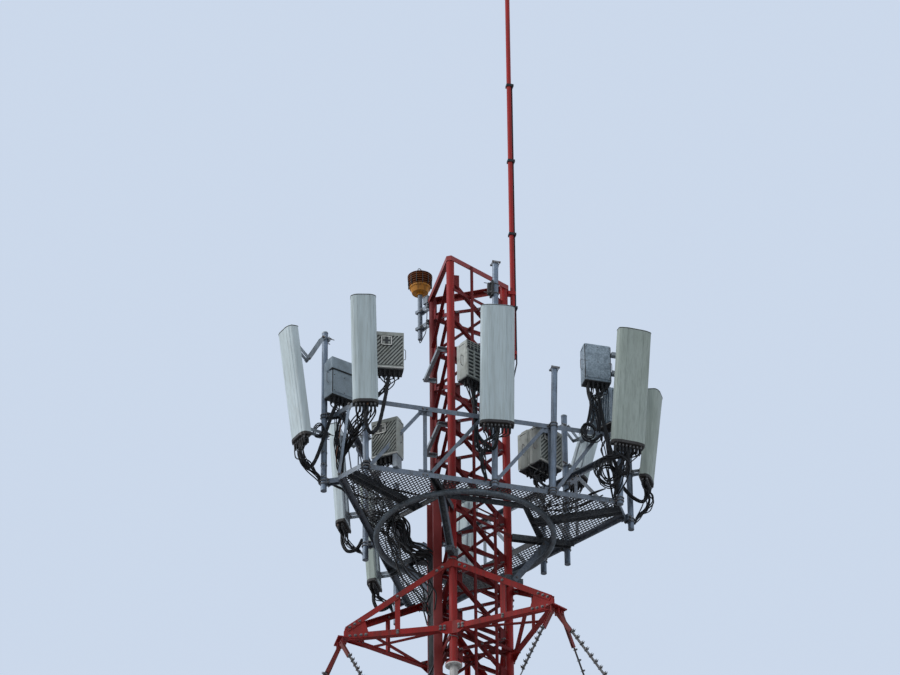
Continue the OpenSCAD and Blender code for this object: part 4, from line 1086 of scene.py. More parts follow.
@dataclass
class TiltBrackets:
    """The eighteen brackets between antennas and pipes: a plain one low, a folding one high."""

    jaw_h: float = 0.05
    stud_d: float = 0.012
    pin_d: float = 0.012
    pad_out: float = 0.019
    knee_drop: float = 0.095

    def build(self) -> None:
        """Makes the brackets as one piece in place of their node."""
        piece = Workpiece("antenna_tilt_brackets", Finish.ZINC_PALE, Finish.BOLT)
        for spot in ANTENNAS:
            low, high = spot.pads()
            self._plain(*self._pad(piece, spot, low))
            self._folding(*self._pad(piece, spot, high), spot.lift)
        piece.make("galvanised", bevel=0.0015, replaces=["antenna_brackets"])

    def _pad(self, piece: Workpiece, spot: AntennaSpot, z: float) -> tuple[Workpiece, float]:
        """Adds the plate that is bolted to the antenna's back, with two ears.

        Args:
            piece: Mesh to add to.
            spot: The antenna.
            z: Height of the pad on it.

        Returns:
            The mesh, held on the pipe's axis at the pad's height, and the pad's distance from there.
        """
        pad, tilt = piece.held(spot.frame()), math.radians(spot.tilt)
        pad.block((-0.056, 0.014, z - 0.034), (0.056, 0.022, z + 0.034))
        for x in (-0.034, 0.034):
            pad.block((x - 0.003, 0.018, z - 0.024), (x + 0.003, 0.05, z + 0.024))
            pad.at(x * 1.3, 0.022, z + 0.025, INWARDS).bolt(0.014, wears=1)
        height = z * math.cos(tilt) + self.pad_out * math.sin(tilt)
        reach = -spot.gap + self.pad_out * math.cos(tilt) - z * math.sin(tilt)
        return piece.held(spot.pipe_frame(), moved(0, 0, height)), reach

    def _clamp(self, piece: Workpiece) -> None:
        """Adds a toothed clamp of two jaws on two long studs.

        Args:
            piece: Mesh to add to, held on the pipe's axis.
        """
        jaw = [(-0.064, -0.007), (-0.034, -0.03), (0.034, -0.03), (0.064, -0.007), (0.064, 0.0), (0.046, 0.0),
               (0.03, 0.0), (0.017, -0.02), (-0.017, -0.02), (-0.03, 0.0), (-0.046, 0.0), (-0.064, 0.0)]
        for turn in (0, 180):
            half = piece.held(turned(turn), moved(0, -PIPE_D / 2 * 0.55, 0))
            half.stacked([level(jaw, -self.jaw_h / 2), level(jaw, self.jaw_h / 2)])
            for z in (-0.02, 0.02):
                half.block((-0.05, -0.034, z - 0.003), (0.05, -0.026, z + 0.003))
        for x in (-0.054, 0.054):
            piece.rod((x, -0.062, 0), (x, 0.105, 0), self.stud_d, 10, 1)
            for y in (-0.034, 0.034, 0.05):
                nut = piece.at(x, y, 0, OUTWARDS if y < 0 else INWARDS)
                nut.lathe([(0.0125, 0), (0.0125, 0.002)], 12, 1)
                nut.lathe([(0.0112, 0.002), (0.0112, 0.012)], 6, 1)

    def _plain(self, piece: Workpiece, reach: float) -> None:
        """Adds the plain bracket near the antenna's low end.

        Args:
            piece: Mesh to add to, held on the pipe's axis.
            reach: Distance of the pad.
        """
        self._clamp(piece)
        for x in (-0.041, 0.041):
            piece.flat_bar((x, -0.045, 0), (x, reach + 0.006, 0), 0.044, 0.006)
        pin = reach + 0.024
        piece.rod((-0.055, pin, 0), (0.055, pin, 0), self.pin_d, 10, 1)
        for side in (-1, 1):
            piece.at(side * 0.044, pin, 0, turned(90 * side, "Y")).bolt(0.018, wears=1)

    def _folding(self, piece: Workpiece, reach: float, lift: float) -> None:
        """Adds the folding bracket near the antenna's top.

        Args:
            piece: Mesh to add to, held on the pipe's axis.
            reach: Distance of the pad.
            lift: Height of the clamp over the pad.
        """
        self._clamp(piece.at(0, 0, lift))
        y, z = (reach - 0.05) / 2, -self.knee_drop - 0.3 * lift
        for side in (-1, 1):
            piece.flat_bar((side * 0.041, -0.04, lift + 0.008), (side * 0.041, y - 0.012, z - 0.008), 0.046,
                           0.008)
            piece.flat_bar((side * 0.03, reach + 0.008, 0.004), (side * 0.03, y + 0.012, z - 0.008), 0.042,
                           0.007)
            for pin in ((y, z), (reach + 0.026, -0.004), (-0.05, lift + 0.008)):
                piece.at(side * 0.044, *pin, turned(90 * side, "Y")).bolt(0.018, wears=1)
        piece.rod((-0.056, y, z), (0.056, y, z), 0.014, 10, 1)
        piece.rod((-0.05, reach + 0.026, -0.004), (0.05, reach + 0.026, -0.004), self.pin_d, 10, 1)


@dataclass
class PipeFixings:
    """What holds the antenna pipes on the rails: saddles, stand-off arms, U-bolts, straps and top caps."""

    plate_t: float = 0.008
    bolt_d: float = 0.014
    strap_z: tuple[float, ...] = (5.98, 6.16, 6.34)
    box_z: float = 8.68

    def build(self) -> None:
        """Makes the fixings as one piece in place of their node."""
        piece = Workpiece("pipe_fixings", Finish.ZINC, Finish.BOLT, Finish.ZINC_PALE, Finish.CASE_DARK)
        for spot in PIPES:
            for rail in (RAIL_LOW, RAIL_LOW + RAIL_GAP):
                self._on_rail(piece.held(spot.frame(), moved(0, 0, rail - RAIL_HALF)), spot)
            self._ends(piece, spot)
        for z in self.strap_z:
            strap = piece.held(PIPES[7].frame(), moved(0, 0, z))
            strap.lathe([(0.0385, 0), (0.0425, 0.001), (0.0425, 0.017), (0.0385, 0.018)], 24, 2)
            strap.block((0.036, -0.014, 0), (0.064, 0.014, 0.018), 2)
            strap.at(0.052, -0.014, 0.009, OUTWARDS).bolt(0.014, 0.028, 1)
        piece.make("galvanised", bevel=0.0015, replaces=["pipe_clamps"])

    def _on_rail(self, piece: Workpiece, spot: PipeSpot) -> None:
        """Adds one fixing at a rail.

        Args:
            piece: Mesh to add to, held on the pipe's axis at the rail's mid height.
            spot: The pipe.
        """
        face = PIPE_D / 2 + 0.004
        if spot.out > 0.05:
            plate = face + self.plate_t
            piece.block((-0.055, face, -0.042), (0.055, plate, 0.042))
            for x in (-0.03, 0.03):
                piece.block((x - 0.004, plate, -0.034), (x + 0.004, spot.out, 0.034))
            piece.block((-0.03, plate, 0.028), (0.03, spot.out, 0.034))
            piece.block((-0.06, spot.out - self.plate_t, -0.042), (0.06, spot.out, 0.042))
            reach = plate + 0.034
        else:
            reach = spot.out + 0.045
            piece.block((-0.055, face, -0.038), (0.055, spot.out, 0.038))
        for z in (-0.021, 0.021):
            piece.block((-0.03, 0.018, z - 0.008), (0.03, face, z + 0.008))
            piece.at(0, 0, z).u_bolt(PIPE_D + 0.001, self.bolt_d, reach, 1)

    def _ends(self, piece: Workpiece, spot: PipeSpot) -> None:
        """Adds a lipped cap on a pipe's top, a yoke with studs on two of them and a box high on the tallest.

        Args:
            piece: Mesh to add to.
            spot: The pipe.
        """
        pipe = piece.held(spot.frame())
        pipe.at(0, 0, spot.high).lathe([(0.0405, -0.012), (0.0405, 0.003), (0.034, 0.007), (0.0, 0.0075)], 20,
                                       2)
        pipe.at(0, 0, spot.low - 0.002).lathe([(0.0395, 0), (0.0395, 0.01)], 20)
        if spot in (PIPES[1], PIPES[2]):
            top = pipe.at(0, 0, spot.high + 0.006)
            for y in (-0.052, 0.042):
                top.block((-0.056, y, -0.03), (0.056, y + 0.01, -0.004), 1)
            for x in (-0.048, 0.048):
                top.rod((x, -0.066, -0.017), (x, 0.066, -0.017), 0.01, wears=1)
        if spot is PIPES[1]:
            box = pipe.at(0, 0, self.box_z)
            box.block((-0.062, -0.05, 0.0), (-0.036, 0.05, 0.22), 3)
            box.block((-0.1, -0.02, 0.03), (-0.06, 0.03, 0.19), 3)
            for z in (0.04, 0.18):
                box.at(0, 0, z, turned(90)).u_bolt(PIPE_D + 0.001, 0.01, 0.085, 1)
                box.rod((-0.15, 0.0, z + 0.01), (-0.05, 0.0, z + 0.01), 0.01, wears=1)


class Case(Enum):
    """Kinds of radio housing, by their fronts."""

    RIBBED = 1
    SMOOTH = 2
    SLOTTED = 3


CASES = {"radio_left_front": Case.SMOOTH, "radio_front_right": Case.SMOOTH, "radio_back_right": Case.SMOOTH,
         "radio_front_middle": Case.SLOTTED}
CAST_SHELLS = {"radio_left_front": Finish.CASE_PALE}


@dataclass
class RadioUnit:
    """Radio: cast housing with ribs and a windowed hatch in front, fins behind, bails and ports below."""

    spot: RadioSpot
    case: Case = Case.RIBBED
    width: float = 0.36
    depth: float = 0.19
    height: float = 0.54
    fins: int = 13
    pair_gap: float = 0.205
    port_xs: tuple[float, ...] = (-0.12, -0.06, 0.0, 0.06, 0.12)
    port_rows: tuple[float, ...] = (-0.32, 0.02)

    def build(self) -> None:
        """Makes the unit, or both units of the pair, in place of the node."""
        smooth = self.case is Case.SMOOTH
        shell = CAST_SHELLS.get(self.spot.node, Finish.CASE_BARE) if smooth else Finish.CASE
        piece = Workpiece(self.spot.node + "_unit", shell, Finish.CASE_DARK, Finish.WHITE_TRIM, Finish.BOOT,
                          Finish.BOLT, Finish.ZINC_PALE, Finish.GROOVE)
        front = {Case.RIBBED: self._ribs, Case.SMOOTH: self._plain, Case.SLOTTED: self._slots}[self.case]
        for unit in (piece.held(where) for where in self.frames()):
            self._housing(unit)
            front(unit)
            self._below(unit)
            self._bails(unit)
        piece.make("radio_case_bare" if smooth else "radio_case", bevel=0.0025, replaces=[self.spot.node])

    def frames(self) -> list[Matrix]:
        """Placements of the unit, or of the pair, one behind the other.

        Returns:
            One placement, or two.
        """
        where = self.spot.frame()
        if self.spot.node != "radio_front_pair":
            return [where]
        return [where @ moved(0, side * self.pair_gap / 2, 0) for side in (-1, 1)]

    def port_spots(self) -> Outline:
        """Places of the ports on the underside, in two rows."""
        return [(x, row * self.depth) for x in self.port_xs for row in self.port_rows]

    def _housing(self, piece: Workpiece) -> None:
        """Adds the housing, its lid seam and the fins behind.

        Args:
            piece: Mesh to add to, held at the unit.
        """
        w, d, h = self.width, self.depth, self.height
        body = [(x, y - 0.14 * d) for x, y in rounded_box_section(w, 0.72 * d, 0.022)]
        tight = [(x * 0.965, (y + 0.14 * d) * 0.93 - 0.14 * d) for x, y in body]
        piece.stacked([level(tight, 0.0), level(body, 0.014), level(body, h - 0.02), level(tight, h)])
        piece.block((-w / 2 - 0.003, -0.5 * d + 0.03, h * 0.9), (w / 2 + 0.003, 0.2 * d, h * 0.9 + 0.006), 1)
        for i in range(self.fins):
            x = -w / 2 + 0.008 + i * (w - 0.021) / (self.fins - 1)
            piece.block((x, 0.2 * d, 0.014), (x + 0.005, 0.5 * d, h - 0.014))
        for z in (0.12, h - 0.14):
            piece.block((-0.07, 0.2 * d, z), (0.07, 0.5 * d + 0.012, z + 0.045), 5)
            for x in (-0.05, 0.05):
                piece.at(x, 0.5 * d + 0.012, z + 0.022, INWARDS).bolt(0.016, wears=4)

    def _bars(self, piece: Workpiece, proud: float, bars: Iterable[Sequence[float]],
              wears: int = 0) -> None:
        """Adds flat bars on the front.

        Args:
            piece: Mesh to add to, held at the unit.
            proud: How far they stand out.
            bars: Place and height of their low left and high right corners.
            wears: Number of the finish.
        """
        y = -self.depth / 2
        for left, low, right, high in bars:
            piece.block((left, y - proud, low), (right, y + 0.002, high), wears)

    def _plain(self, piece: Workpiece) -> None:
        """Adds a plain lid with screws, and a hood on the unit of the left side.

        Args:
            piece: Mesh to add to, held at the unit.
        """
        half, h, y = self.width / 2, self.height, -self.depth / 2
        self._bars(piece, 0.009, [(-half + 0.018, 0.03, half - 0.018, h - 0.03)])
        for x in (-half + 0.032, 0, half - 0.032):
            for z in (0.046, h / 2, h - 0.046):
                piece.at(x, y - 0.009, z, OUTWARDS).bolt(0.01, wears=4)
        # A strip in painted shade under the hood.
        if self.spot.side == 2:
            piece.block((-half - 0.008, y - 0.018, h * 0.64), (half + 0.008, y + 0.05, h * 0.67), 1)
            piece.block((-half - 0.012, y - 0.022, h * 0.67), (half + 0.012, 0.1 * self.depth, h * 0.97))
        # Strips in painted shade down the front's edges.
        for x in (-half + 0.006, half - 0.014):
            piece.block((x, y - 0.002, 0.014), (x + 0.008, y + 0.004, h - 0.014), 1)

    def _ribs(self, piece: Workpiece) -> None:
        """Adds the slanted ribs in their frame, a white line below and the hatch.

        Args:
            piece: Mesh to add to, held at the unit.
        """
        w, h, y = self.width / 2, self.height, -self.depth / 2
        # The panel behind the ribs is dark as painted shade between them.
        self._bars(piece, 0.0015, [(-w + 0.01, 0.02, w - 0.01, h - 0.05)], 6)
        a, b, slope, half = w - 0.02, h / 2 - 0.045, 0.8, 0.0105
        for c in (0.046 * i for i in range(-14, 15)):
            low, high = max(-b, (-a - c) / slope), min(b, (a - c) / slope)
            if high - low < 0.02:
                continue
            ends = ((low, -half), (low, half), (high, half), (high, -half))
            corners = [(c + slope * z + side, z) for z, side in ends]
            points = [(x, y + out, z + h / 2) for out in (-0.013, 0.002) for x, z in corners]
            piece.body(points, [
                (0, 1, 2, 3), (7, 6, 5, 4), (0, 4, 5, 1), (1, 5, 6, 2), (2, 6, 7, 3), (3, 7, 4, 0),
            ])
        self._bars(piece, 0.013, [
            (-w + 0.008, 0.02, -w + 0.02, h - 0.02), (w - 0.02, 0.02, w - 0.008, h - 0.02),
            (-w + 0.008, 0.014, w - 0.008, 0.034),
        ])
        self._bars(piece, 0.014, [(-w + 0.004, h - 0.062, w - 0.004, h - 0.012)])
        self._bars(piece, 0.015, [(-w + 0.002, 0.004, w - 0.002, 0.013)], 2)
        self._hatch(piece.at(-0.24 * w, y - 0.012, h * 0.735))

    def _slots(self, piece: Workpiece) -> None:
        """Adds a front in painted shade behind a pale grille, with a finer grille along the top.

        Args:
            piece: Mesh to add to, held at the unit.
        """
        w, h = self.width / 2, self.height
        self._bars(piece, 0.004, [(-w + 0.006, 0.01, w - 0.006, h - 0.01)], 1)
        posts = (-w, -w / 3 - 0.012, w / 3 - 0.012, w - 0.024)
        self._bars(piece, 0.02, [(x, 0.0, x + 0.024, h - 0.13) for x in posts])
        rows = (0.004 + i * (h - 0.16) / 7 for i in range(8))
        self._bars(piece, 0.016, [(-w, z, w, z + 0.02) for z in rows])
        fine = (-w + 0.004 + i * (2 * w - 0.018) / 6 for i in range(7))
        self._bars(piece, 0.012, [(x, h - 0.11, x + 0.01, h - 0.006) for x in fine])
        self._bars(piece, 0.012, [(-w, z, w, z + 0.01) for z in (h - 0.075, h - 0.042, h - 0.012)])

    def _hatch(self, piece: Workpiece) -> None:
        """Adds the raised hatch of two by two windows in a white frame.

        Args:
            piece: Mesh to add to, held at the hatch's middle.
        """
        half, bar = 0.185 * self.width, 0.012
        piece.block((-half - 0.006, -0.006, -half - 0.006), (half + 0.006, 0.004, half + 0.006), 1)
        for x in (-half / 2, half / 2):
            for z in (-half / 2, half / 2):
                # Each window: a pane dark as painted shade, with a block in the case's colour on it.
                for across, up, front, wears in ((0.36, 0.36, -0.009, 6), (0.16, 0.3, -0.0105, 0)):
                    dx, dz = half * across, half * up
                    piece.block((x - dx, front, z - dz), (x + dx, -0.005, z + dz), wears)
        for c in (-half, half - bar):
            piece.block((c, -0.012, -half), (c + bar, -0.004, half), 2)
            piece.block((-half, -0.012, c), (half, -0.004, c + bar), 2)

    def _below(self, piece: Workpiece) -> None:
        """Adds the recessed underside, dark as painted shade, and the ports with their boots.

        Args:
            piece: Mesh to add to, held at the unit.
        """
        w, d = self.width, self.depth
        piece.block((-w / 2 + 0.008, -0.47 * d, -0.012), (w / 2 - 0.008, 0.44 * d, 0.004), 1)
        for x, y in self.port_spots():
            port = piece.at(x, y, 0)
            port.lathe([(0.016, -0.024), (0.016, -0.002)], 6, 4)
            port.lathe([(0.0105, -0.092), (0.0125, -0.084), (0.0155, -0.05), (0.0165, -0.016)], 10, 3)

    def _bails(self, piece: Workpiece) -> None:
        """Adds a wire bail on each side.

        Args:
            piece: Mesh to add to, held at the unit.
        """
        low, high = 0.34 * self.height, 0.62 * self.height
        for side in (-1, 1):
            x, y = side * (self.width / 2 - 0.002), -0.12 * self.depth
            bends = ((0, low), (0.024, low + 0.004), (0.03, low + 0.02), (0.03, high - 0.02),
                     (0.024, high - 0.004), (0, high))
            piece.hose([Vector((x + side * out, y, z)) for out, z in bends], 0.009, 8, 4)


@dataclass
class MeshFloor:
    """Expanded-metal floor: slit and stretched strands in a flat rim, round the open middle."""

    long: float = 0.08
    short: float = 0.05
    strand: float = 0.0125
    rim: float = 0.04
    thick: float = 0.005
    lean: float = 0.0018
    columns: int = 110
    rows: int = 70
    outline: tuple[float, float] = (SIDE_OUT - 0.002,
                                    SIDE_OUT * 0.5 + SIDE_HALF * math.sin(math.radians(60)) - 0.002)
    hole: tuple[float, float] = (0.8, 0.86)

    def build(self) -> None:
        """Makes the floor in place of its node."""
        # The strands wear zinc darkened as painted shade, and the rim does too.
        piece = Workpiece("floor_expanded_mesh", Finish.ZINC_MESH, Finish.ZINC_DARK)
        piece = piece.at(0, LEG_OUT, RAIL_LOW, turned(SIDE_TURN))
        for i in range(-self.columns, self.columns + 1):
            for j in range(-self.rows + i % 2, self.rows + 1, 2):
                start = Vector((i * self.short / 2, j * self.long / 2, self.thick / 2))
                for up in (-1, 1):
                    end = start + Vector((self.short / 2, up * self.long / 2, 0))
                    if self._covers((start + end) / 2):
                        self._strand(piece, start, end)
        self._rim(piece, self.outline, self.rim / 2)
        self._rim(piece, self.hole, -self.rim / 2)
        piece.make("mesh_steel", replaces=["floor_mesh"])

    def _covers(self, point: Vector) -> bool:
        """Whether the floor covers a point.

        Args:
            point: The point, from the floor's middle.

        Returns:
            True between the opening and the outer edge.
        """
        angles = [math.radians(60 * k) for k in range(6)]
        outs = [point.x * math.sin(a) - point.y * math.cos(a) for a in angles]
        inside = all(out < self.outline[k % 2] - 0.02 for k, out in enumerate(outs))
        return inside and any(out > self.hole[k % 2] + 0.01 for k, out in enumerate(outs))

    def _strand(self, piece: Workpiece, start: Vector, end: Vector) -> None:
        """Adds one strand, leaning as the stretched metal does.

        Args:
            piece: Mesh to add to.
            start: One end.
            end: The other end.
        """
        run = (end - start).normalized()
        across = Vector((-run.y, run.x, 0)) * self.strand / 2
        up = Vector((0, 0, self.thick / 2))
        tilt = Vector((0, 0, self.lean)) * (1 if run.y > 0 else -1)
        ring = [-across - up - tilt, across - up + tilt, across + up + tilt, -across + up - tilt]
        piece.body([tip + r for tip in (start, end) for r in ring],
                   [(0, 1, 5, 4), (1, 2, 6, 5), (2, 3, 7, 6), (3, 0, 4, 7)])

    def _rim(self, piece: Workpiece, distances: tuple[float, float], inset: float) -> None:
        """Adds the flat bars along the six edges of an outline.

        Args:
            piece: Mesh to add to.
            distances: Distances of the even and odd edges from the middle.
            inset: Distance of the bars' middle inside the edges.
        """
        for k in range(6):
            own, other = distances[k % 2] - inset, distances[(k + 1) % 2] - inset
            half = (other - own * 0.5) / math.sin(math.radians(60))
            edge = piece.held(turned(60 * k))
            edge.block((-half, -own - self.rim / 2, 0), (half, -own + self.rim / 2, self.thick), 1)


@dataclass
class BoltSets:
    """Bolts of the mast's bracing, of the star arms and of the headframe."""

    top_bays: int = 10
    base_bays: int = 6
    top_z: float = MAST_TOP - 0.3
    base_z: float = 3.5
    bay: float = 0.55
    tip_run: float = 1.57 - FACE_OUT
    low_z: float = 4.2
    arm_rise: float = 0.875
    leg_gap: float = 0.0608

    def build(self) -> None:
        """Makes the sets."""
        for colour, top, bays in (("red", self.top_z, self.top_bays), ("white", self.base_z, self.base_bays)):
            piece = Workpiece(f"bolts_on_{colour}_bracing", Finish.BOLT)
            for face in range(3):
                for bay in range(bays):
                    self._cross(piece.held(face_frame(face), moved(0, 0, top - (bay + 0.5) * self.bay)))
            piece.make(f"{colour}_bracing_paint")
        self._star_arms()
        self._headframe()

    def _cross(self, piece: Workpiece) -> None:
        """Adds the bolts of one crossed pair of angles.

        Args:
            piece: Mesh to add to, held where they cross.
        """
        slope = math.atan2(self.bay, FACE_WIDE)
        reach = math.hypot(FACE_WIDE, self.bay) / 2 - 0.088
        piece.at(0, -0.008, 0, OUTWARDS).bolt(0.024, 0.018)
        for side in (-1, 1):
            for t in (-reach + 0.02, -reach + 0.058, reach - 0.058, reach - 0.02):
                spot = piece.at(t * math.cos(slope), side * 0.008, -side * t * math.sin(slope))
                spot.held(OUTWARDS if side < 0 else INWARDS).bolt(0.02)

    def _star_arms(self) -> None:
        """Adds the bolts on the chords, posts and gussets of the star arms."""
        to_leg = math.hypot(FACE_WIDE / 2, self.tip_run)
        half = math.degrees(math.atan2(FACE_WIDE / 2, self.tip_run) + math.asin(self.leg_gap / to_leg))
        length = math.sqrt(to_leg ** 2 - self.leg_gap ** 2)
        post = length * 0.48 + 0.033
        spots = [(x, 0.0) for x in (0.1, 0.17, 0.24, 0.3)]
        spots += [(length - back, z) for back in (0.1, 0.15) for z in (-0.02, 0.02)]
        spots += [(post, -0.014), (post, 0.016)]
        high = (0.1, 0.16, 0.22, post, length - 0.19, length - 0.12)
        spots += [(x, 0.06 + self.arm_rise / length * x) for x in high]
        piece = Workpiece("bolts_on_star_arms", Finish.BOLT)
        for face in range(3):
            for side in (-1, 1):
                tip = piece.held(face_frame(face), moved(0, -self.tip_run, self.low_z))
                chord = tip.held(turned(90 - side * half))
                for x, z in spots:
                    chord.at(x, -side * 0.007, z, OUTWARDS if side > 0 else INWARDS).bolt(0.024, 0.02)
        piece.make("red_arm_paint")

    def _headframe(self) -> None:
        """Adds the bolts where bars meet the rails of the headframe, and the plates at its corners."""
        piece = Workpiece("headframe_joints", Finish.BOLT, Finish.ZINC)
        for side in range(3):
            rail = piece.held(side_frame(side))
            for z in (RAIL_LOW - 0.034, RAIL_LOW + RAIL_GAP - 0.034):
                for x in (-1.6, -1.54, -0.86, -0.81, 0.755, 0.805, 1.54, 1.6):
                    rail.at(x, 0, z, OUTWARDS).bolt(0.02, 0.018)
                for x in (-1.57, 1.57):
                    rail.block((x - 0.075, 0.006, z - 0.028), (x + 0.075, 0.013, z + 0.028), 1)
            for x in (-0.83, 0.79):
                for z in (RAIL_LOW - 0.03, RAIL_LOW + RAIL_GAP - 0.1):
                    rail.block((x - 0.09, 0.006, z - 0.03), (x + 0.09, 0.0125, z + 0.07), 1)
                    for dx in (0.05, -0.05):
                        rail.at(x + dx, 0.0125, z + 0.04, INWARDS).bolt(0.02)
        piece.make("galvanised", bevel=0.001)


def beacon_frame(z: float) -> Matrix:
    """Placement at a height on the axis of the obstruction light and its bracket's pipe."""
    return moved(0, LEG_OUT, 0) @ turned(240) @ moved(0, -LEG_OUT - BEACON_RUN, z)


@dataclass
class ObstructionLight:
    """Red-light housing painted amber: funnel, bright band, louvred rings, domed top with a lifting eye."""

    low: float = MAST_TOP + 0.17
    spokes: int = 12
    eye_r: float = 0.036
    eye_z: float = 0.388

    def build(self) -> None:
        """Makes the housing in place of its node."""
        piece = Workpiece("beacon_housing", Finish.AMBER, Finish.YELLOW, Finish.CAP, Finish.BOLT)
        piece = piece.held(beacon_frame(self.low))
        piece.lathe([(0.045, 0.0), (0.045, 0.03)], 24, 1)
        piece.lathe([(0.05, 0.03), (0.105, 0.032), (0.118, 0.075), (0.128, 0.1)], 48, 1)
        piece.lathe([(0.133, 0.1), (0.137, 0.104), (0.137, 0.128), (0.133, 0.132)], 48, 1)
        for z, r in ((0.132, 0.146), (0.163, 0.15), (0.194, 0.158), (0.225, 0.161), (0.256, 0.163)):
            piece.lathe([(r - 0.016, z), (r, z + 0.003), (r + 0.001, z + 0.012), (r - 0.014, z + 0.022),
                         (r - 0.018, z + 0.031)], 48)
        piece.lathe([(0.147, 0.286), (0.164, 0.288), (0.164, 0.293), (0.146, 0.298), (0.11, 0.33),
                     (0.05, 0.35), (0.0, 0.354)], 48)
        for i in range(self.spokes):
            spoke = piece.held(turned(360 / self.spokes * i))
            spoke.block((0.138, -0.004, 0.13), (0.162, 0.004, 0.287), 2)
            spoke.at(0.135, 0, 0.116, turned(90, "Y")).bolt(0.008, wears=3)
        eye = [Vector((x, 0, self.eye_z + z)) for x, z in ring_section(self.eye_r, 20)]
        piece.hose([*eye, eye[0]], 0.011, 8, 3)
        piece.make("beacon_paint", replaces=["beacon"], sharp=30)


@dataclass
class BeaconFittings:
    """U-bolts, studs and the supply cable on the obstruction light's bracket."""

    pipe_d: float = 0.062
    cable_d: float = 0.011

    def build(self) -> None:
        """Makes the fittings."""
        piece = Workpiece("beacon_bracket_fittings", Finish.BOLT, Finish.JACKET, Finish.ZINC)
        piece = piece.held(beacon_frame(0.0))
        for z in (MAST_TOP - 0.12, MAST_TOP - 0.38):
            for dz in (0.01, 0.03):
                piece.at(0, 0, z + dz).u_bolt(self.pipe_d, 0.011, 0.085)
            for x in (-0.052, 0.052):
                for dz in (0.012, 0.052):
                    piece.at(x, BEACON_RUN - LEG_R - 0.012, z - 0.01 + dz, OUTWARDS).bolt(0.018, 0.02)
        supply = [(0.02, 0, 0.52), (0.03, 0.03, 0.6), (0.05, 0.11, 0.56), (0.06, 0.17, 0.5),
                  (0.058, 0.188, 0.3), (0.055, 0.19, 0.14)]
        piece.hose(smooth_path([(x, y, MAST_TOP - down) for x, y, down in supply], 26), self.cable_d, 8, 1)
        piece.at(0, 0, MAST_TOP - 0.522).lathe([(0.0325, 0), (0.0325, 0.008)], 20, 2)
        piece.block((-0.045, 0.1, MAST_TOP - 0.04), (0.045, 0.188, MAST_TOP + 0.07), 2)
        piece.block((-0.05, 0.094, MAST_TOP + 0.055), (0.05, 0.188, MAST_TOP + 0.062), 2)
        piece.make("galvanised", bevel=0.001)


GUY_ANCHORS = [(12, 3.4), (132, 3.0), (252, 4.5), (60, 4.1), (180, 3.7), (300, 3.2)]
GUYS = [(0, 0, -1, 1), (0, 1, 1, -1), (0, 3, 0, 0), (1, 1, -1, 1), (1, 2, 1, -1), (1, 4, 0, 0),
        (2, 2, -1, 1), (2, 0, 1, -1), (2, 5, 0, 0)]


def place_at(azimuth: float, out: float, aside: float, z: float) -> Vector:
    """Point at an azimuth from the mast's axis: distance out, distance to the side, height."""
    c, s = math.cos(math.radians(azimuth)), math.sin(math.radians(azimuth))
    return Vector((out * s + aside * c, LEG_OUT - out * c + aside * s, z))


@dataclass
class GuyRopes:
    """Stranded ropes from the star arms to the anchors, with their returned tails and clips."""

    strand_r: float = 0.0065
    grip: float = 0.36
    tail: float = 1.05
    tail_aside: float = 0.0165
    lay: float = 0.24
    clips: int = 8
    arm_eye: tuple[float, float, float] = (1.595, 0.085, 4.065)
    anchor_lug: tuple[float, float] = (0.075, 0.19)

    def build(self) -> None:
        """Makes the ropes in place of their node, and the clips on them."""
        ropes = Workpiece("guy_ropes_stranded", Finish.ROPE)
        clips = Workpiece("guy_rope_clips", Finish.BOLT)
        out, half, eye_z = self.arm_eye
        lug_half, lug_z = self.anchor_lug
        for arm, anchor, aside, lug in GUYS:
            start = place_at(60 + 120 * arm, out, half * aside, eye_z)
            end = place_at(*GUY_ANCHORS[anchor], lug_half * lug, lug_z)
            line, length = along(start, end), (end - start).length
            steps = int((length - 2 * self.grip) / 0.02)
            self._rope(ropes.held(line), [Vector((0, 0, self.grip + (length - 2 * self.grip) * i / steps))
                                          for i in range(steps + 1)])
            self._tail(ropes.held(line), clips.held(line), self.grip + 0.03, 1)
            self._tail(ropes.held(line), clips.held(line), length - self.grip - 0.03, -1)
        ropes.make("rope_steel", replaces=["guy_ropes"])
        clips.make("anchor_steel")

    def _rope(self, ropes: Workpiece, path: Sequence[Vector]) -> None:
        """Adds a stranded rope along a path.

        Args:
            ropes: Mesh of the ropes.
            path: Points of the rope.
        """
        lobes = [(x * swell, y * swell)
                 for (x, y), swell in zip(ring_section(self.strand_r, 12), (1.0, 1.23) * 6)]
        ropes.swept(path, lobes, 0, 2 * math.pi / self.lay)

    def _tail(self, ropes: Workpiece, clips: Workpiece, low: float, way: int) -> None:
        """Adds a rope's returned tail beside it and the clips over both.

        Args:
            ropes: Mesh of the ropes, held with Z along the rope.
            clips: Mesh of the clips, held in the same way.
            low: Where the tail starts.
            way: 1 or -1, the way along the rope.
        """
        steps = 44
        self._rope(ropes, [Vector((0, self.tail_aside * min(1.0, i / 2), low + way * self.tail * i / steps))
                           for i in range(steps + 1)])
        for i in range(self.clips):
            clip = clips.at(0, 0.008, low + way * (0.06 + i * (self.tail - 0.1) / (self.clips - 1)))
            clip.block((-0.02, 0.014, -0.012), (0.02, 0.028, 0.012))
            for x in (-0.013, 0.013):
                clip.rod((x, -0.016, 0), (x, 0.05, 0), 0.008)
                clip.at(x, 0.028, 0, INWARDS).lathe([(0.0085, 0), (0.0085, 0.008)], 6)
            clip.rod((-0.017, -0.016, 0), (0.017, -0.016, 0), 0.008)


def on_headframe(side: int, along: float, out: float, z: float) -> Vector:
    """Point of the headframe: place along a side, distance outside it, height."""
    return side_frame(side) @ Vector((along, -out, z))


def on_face(face: int, along: float, out: float, z: float) -> Vector:
    """Point at a mast face: place along it, distance outside it, height."""
    return face_frame(face) @ Vector((along, -out, z))


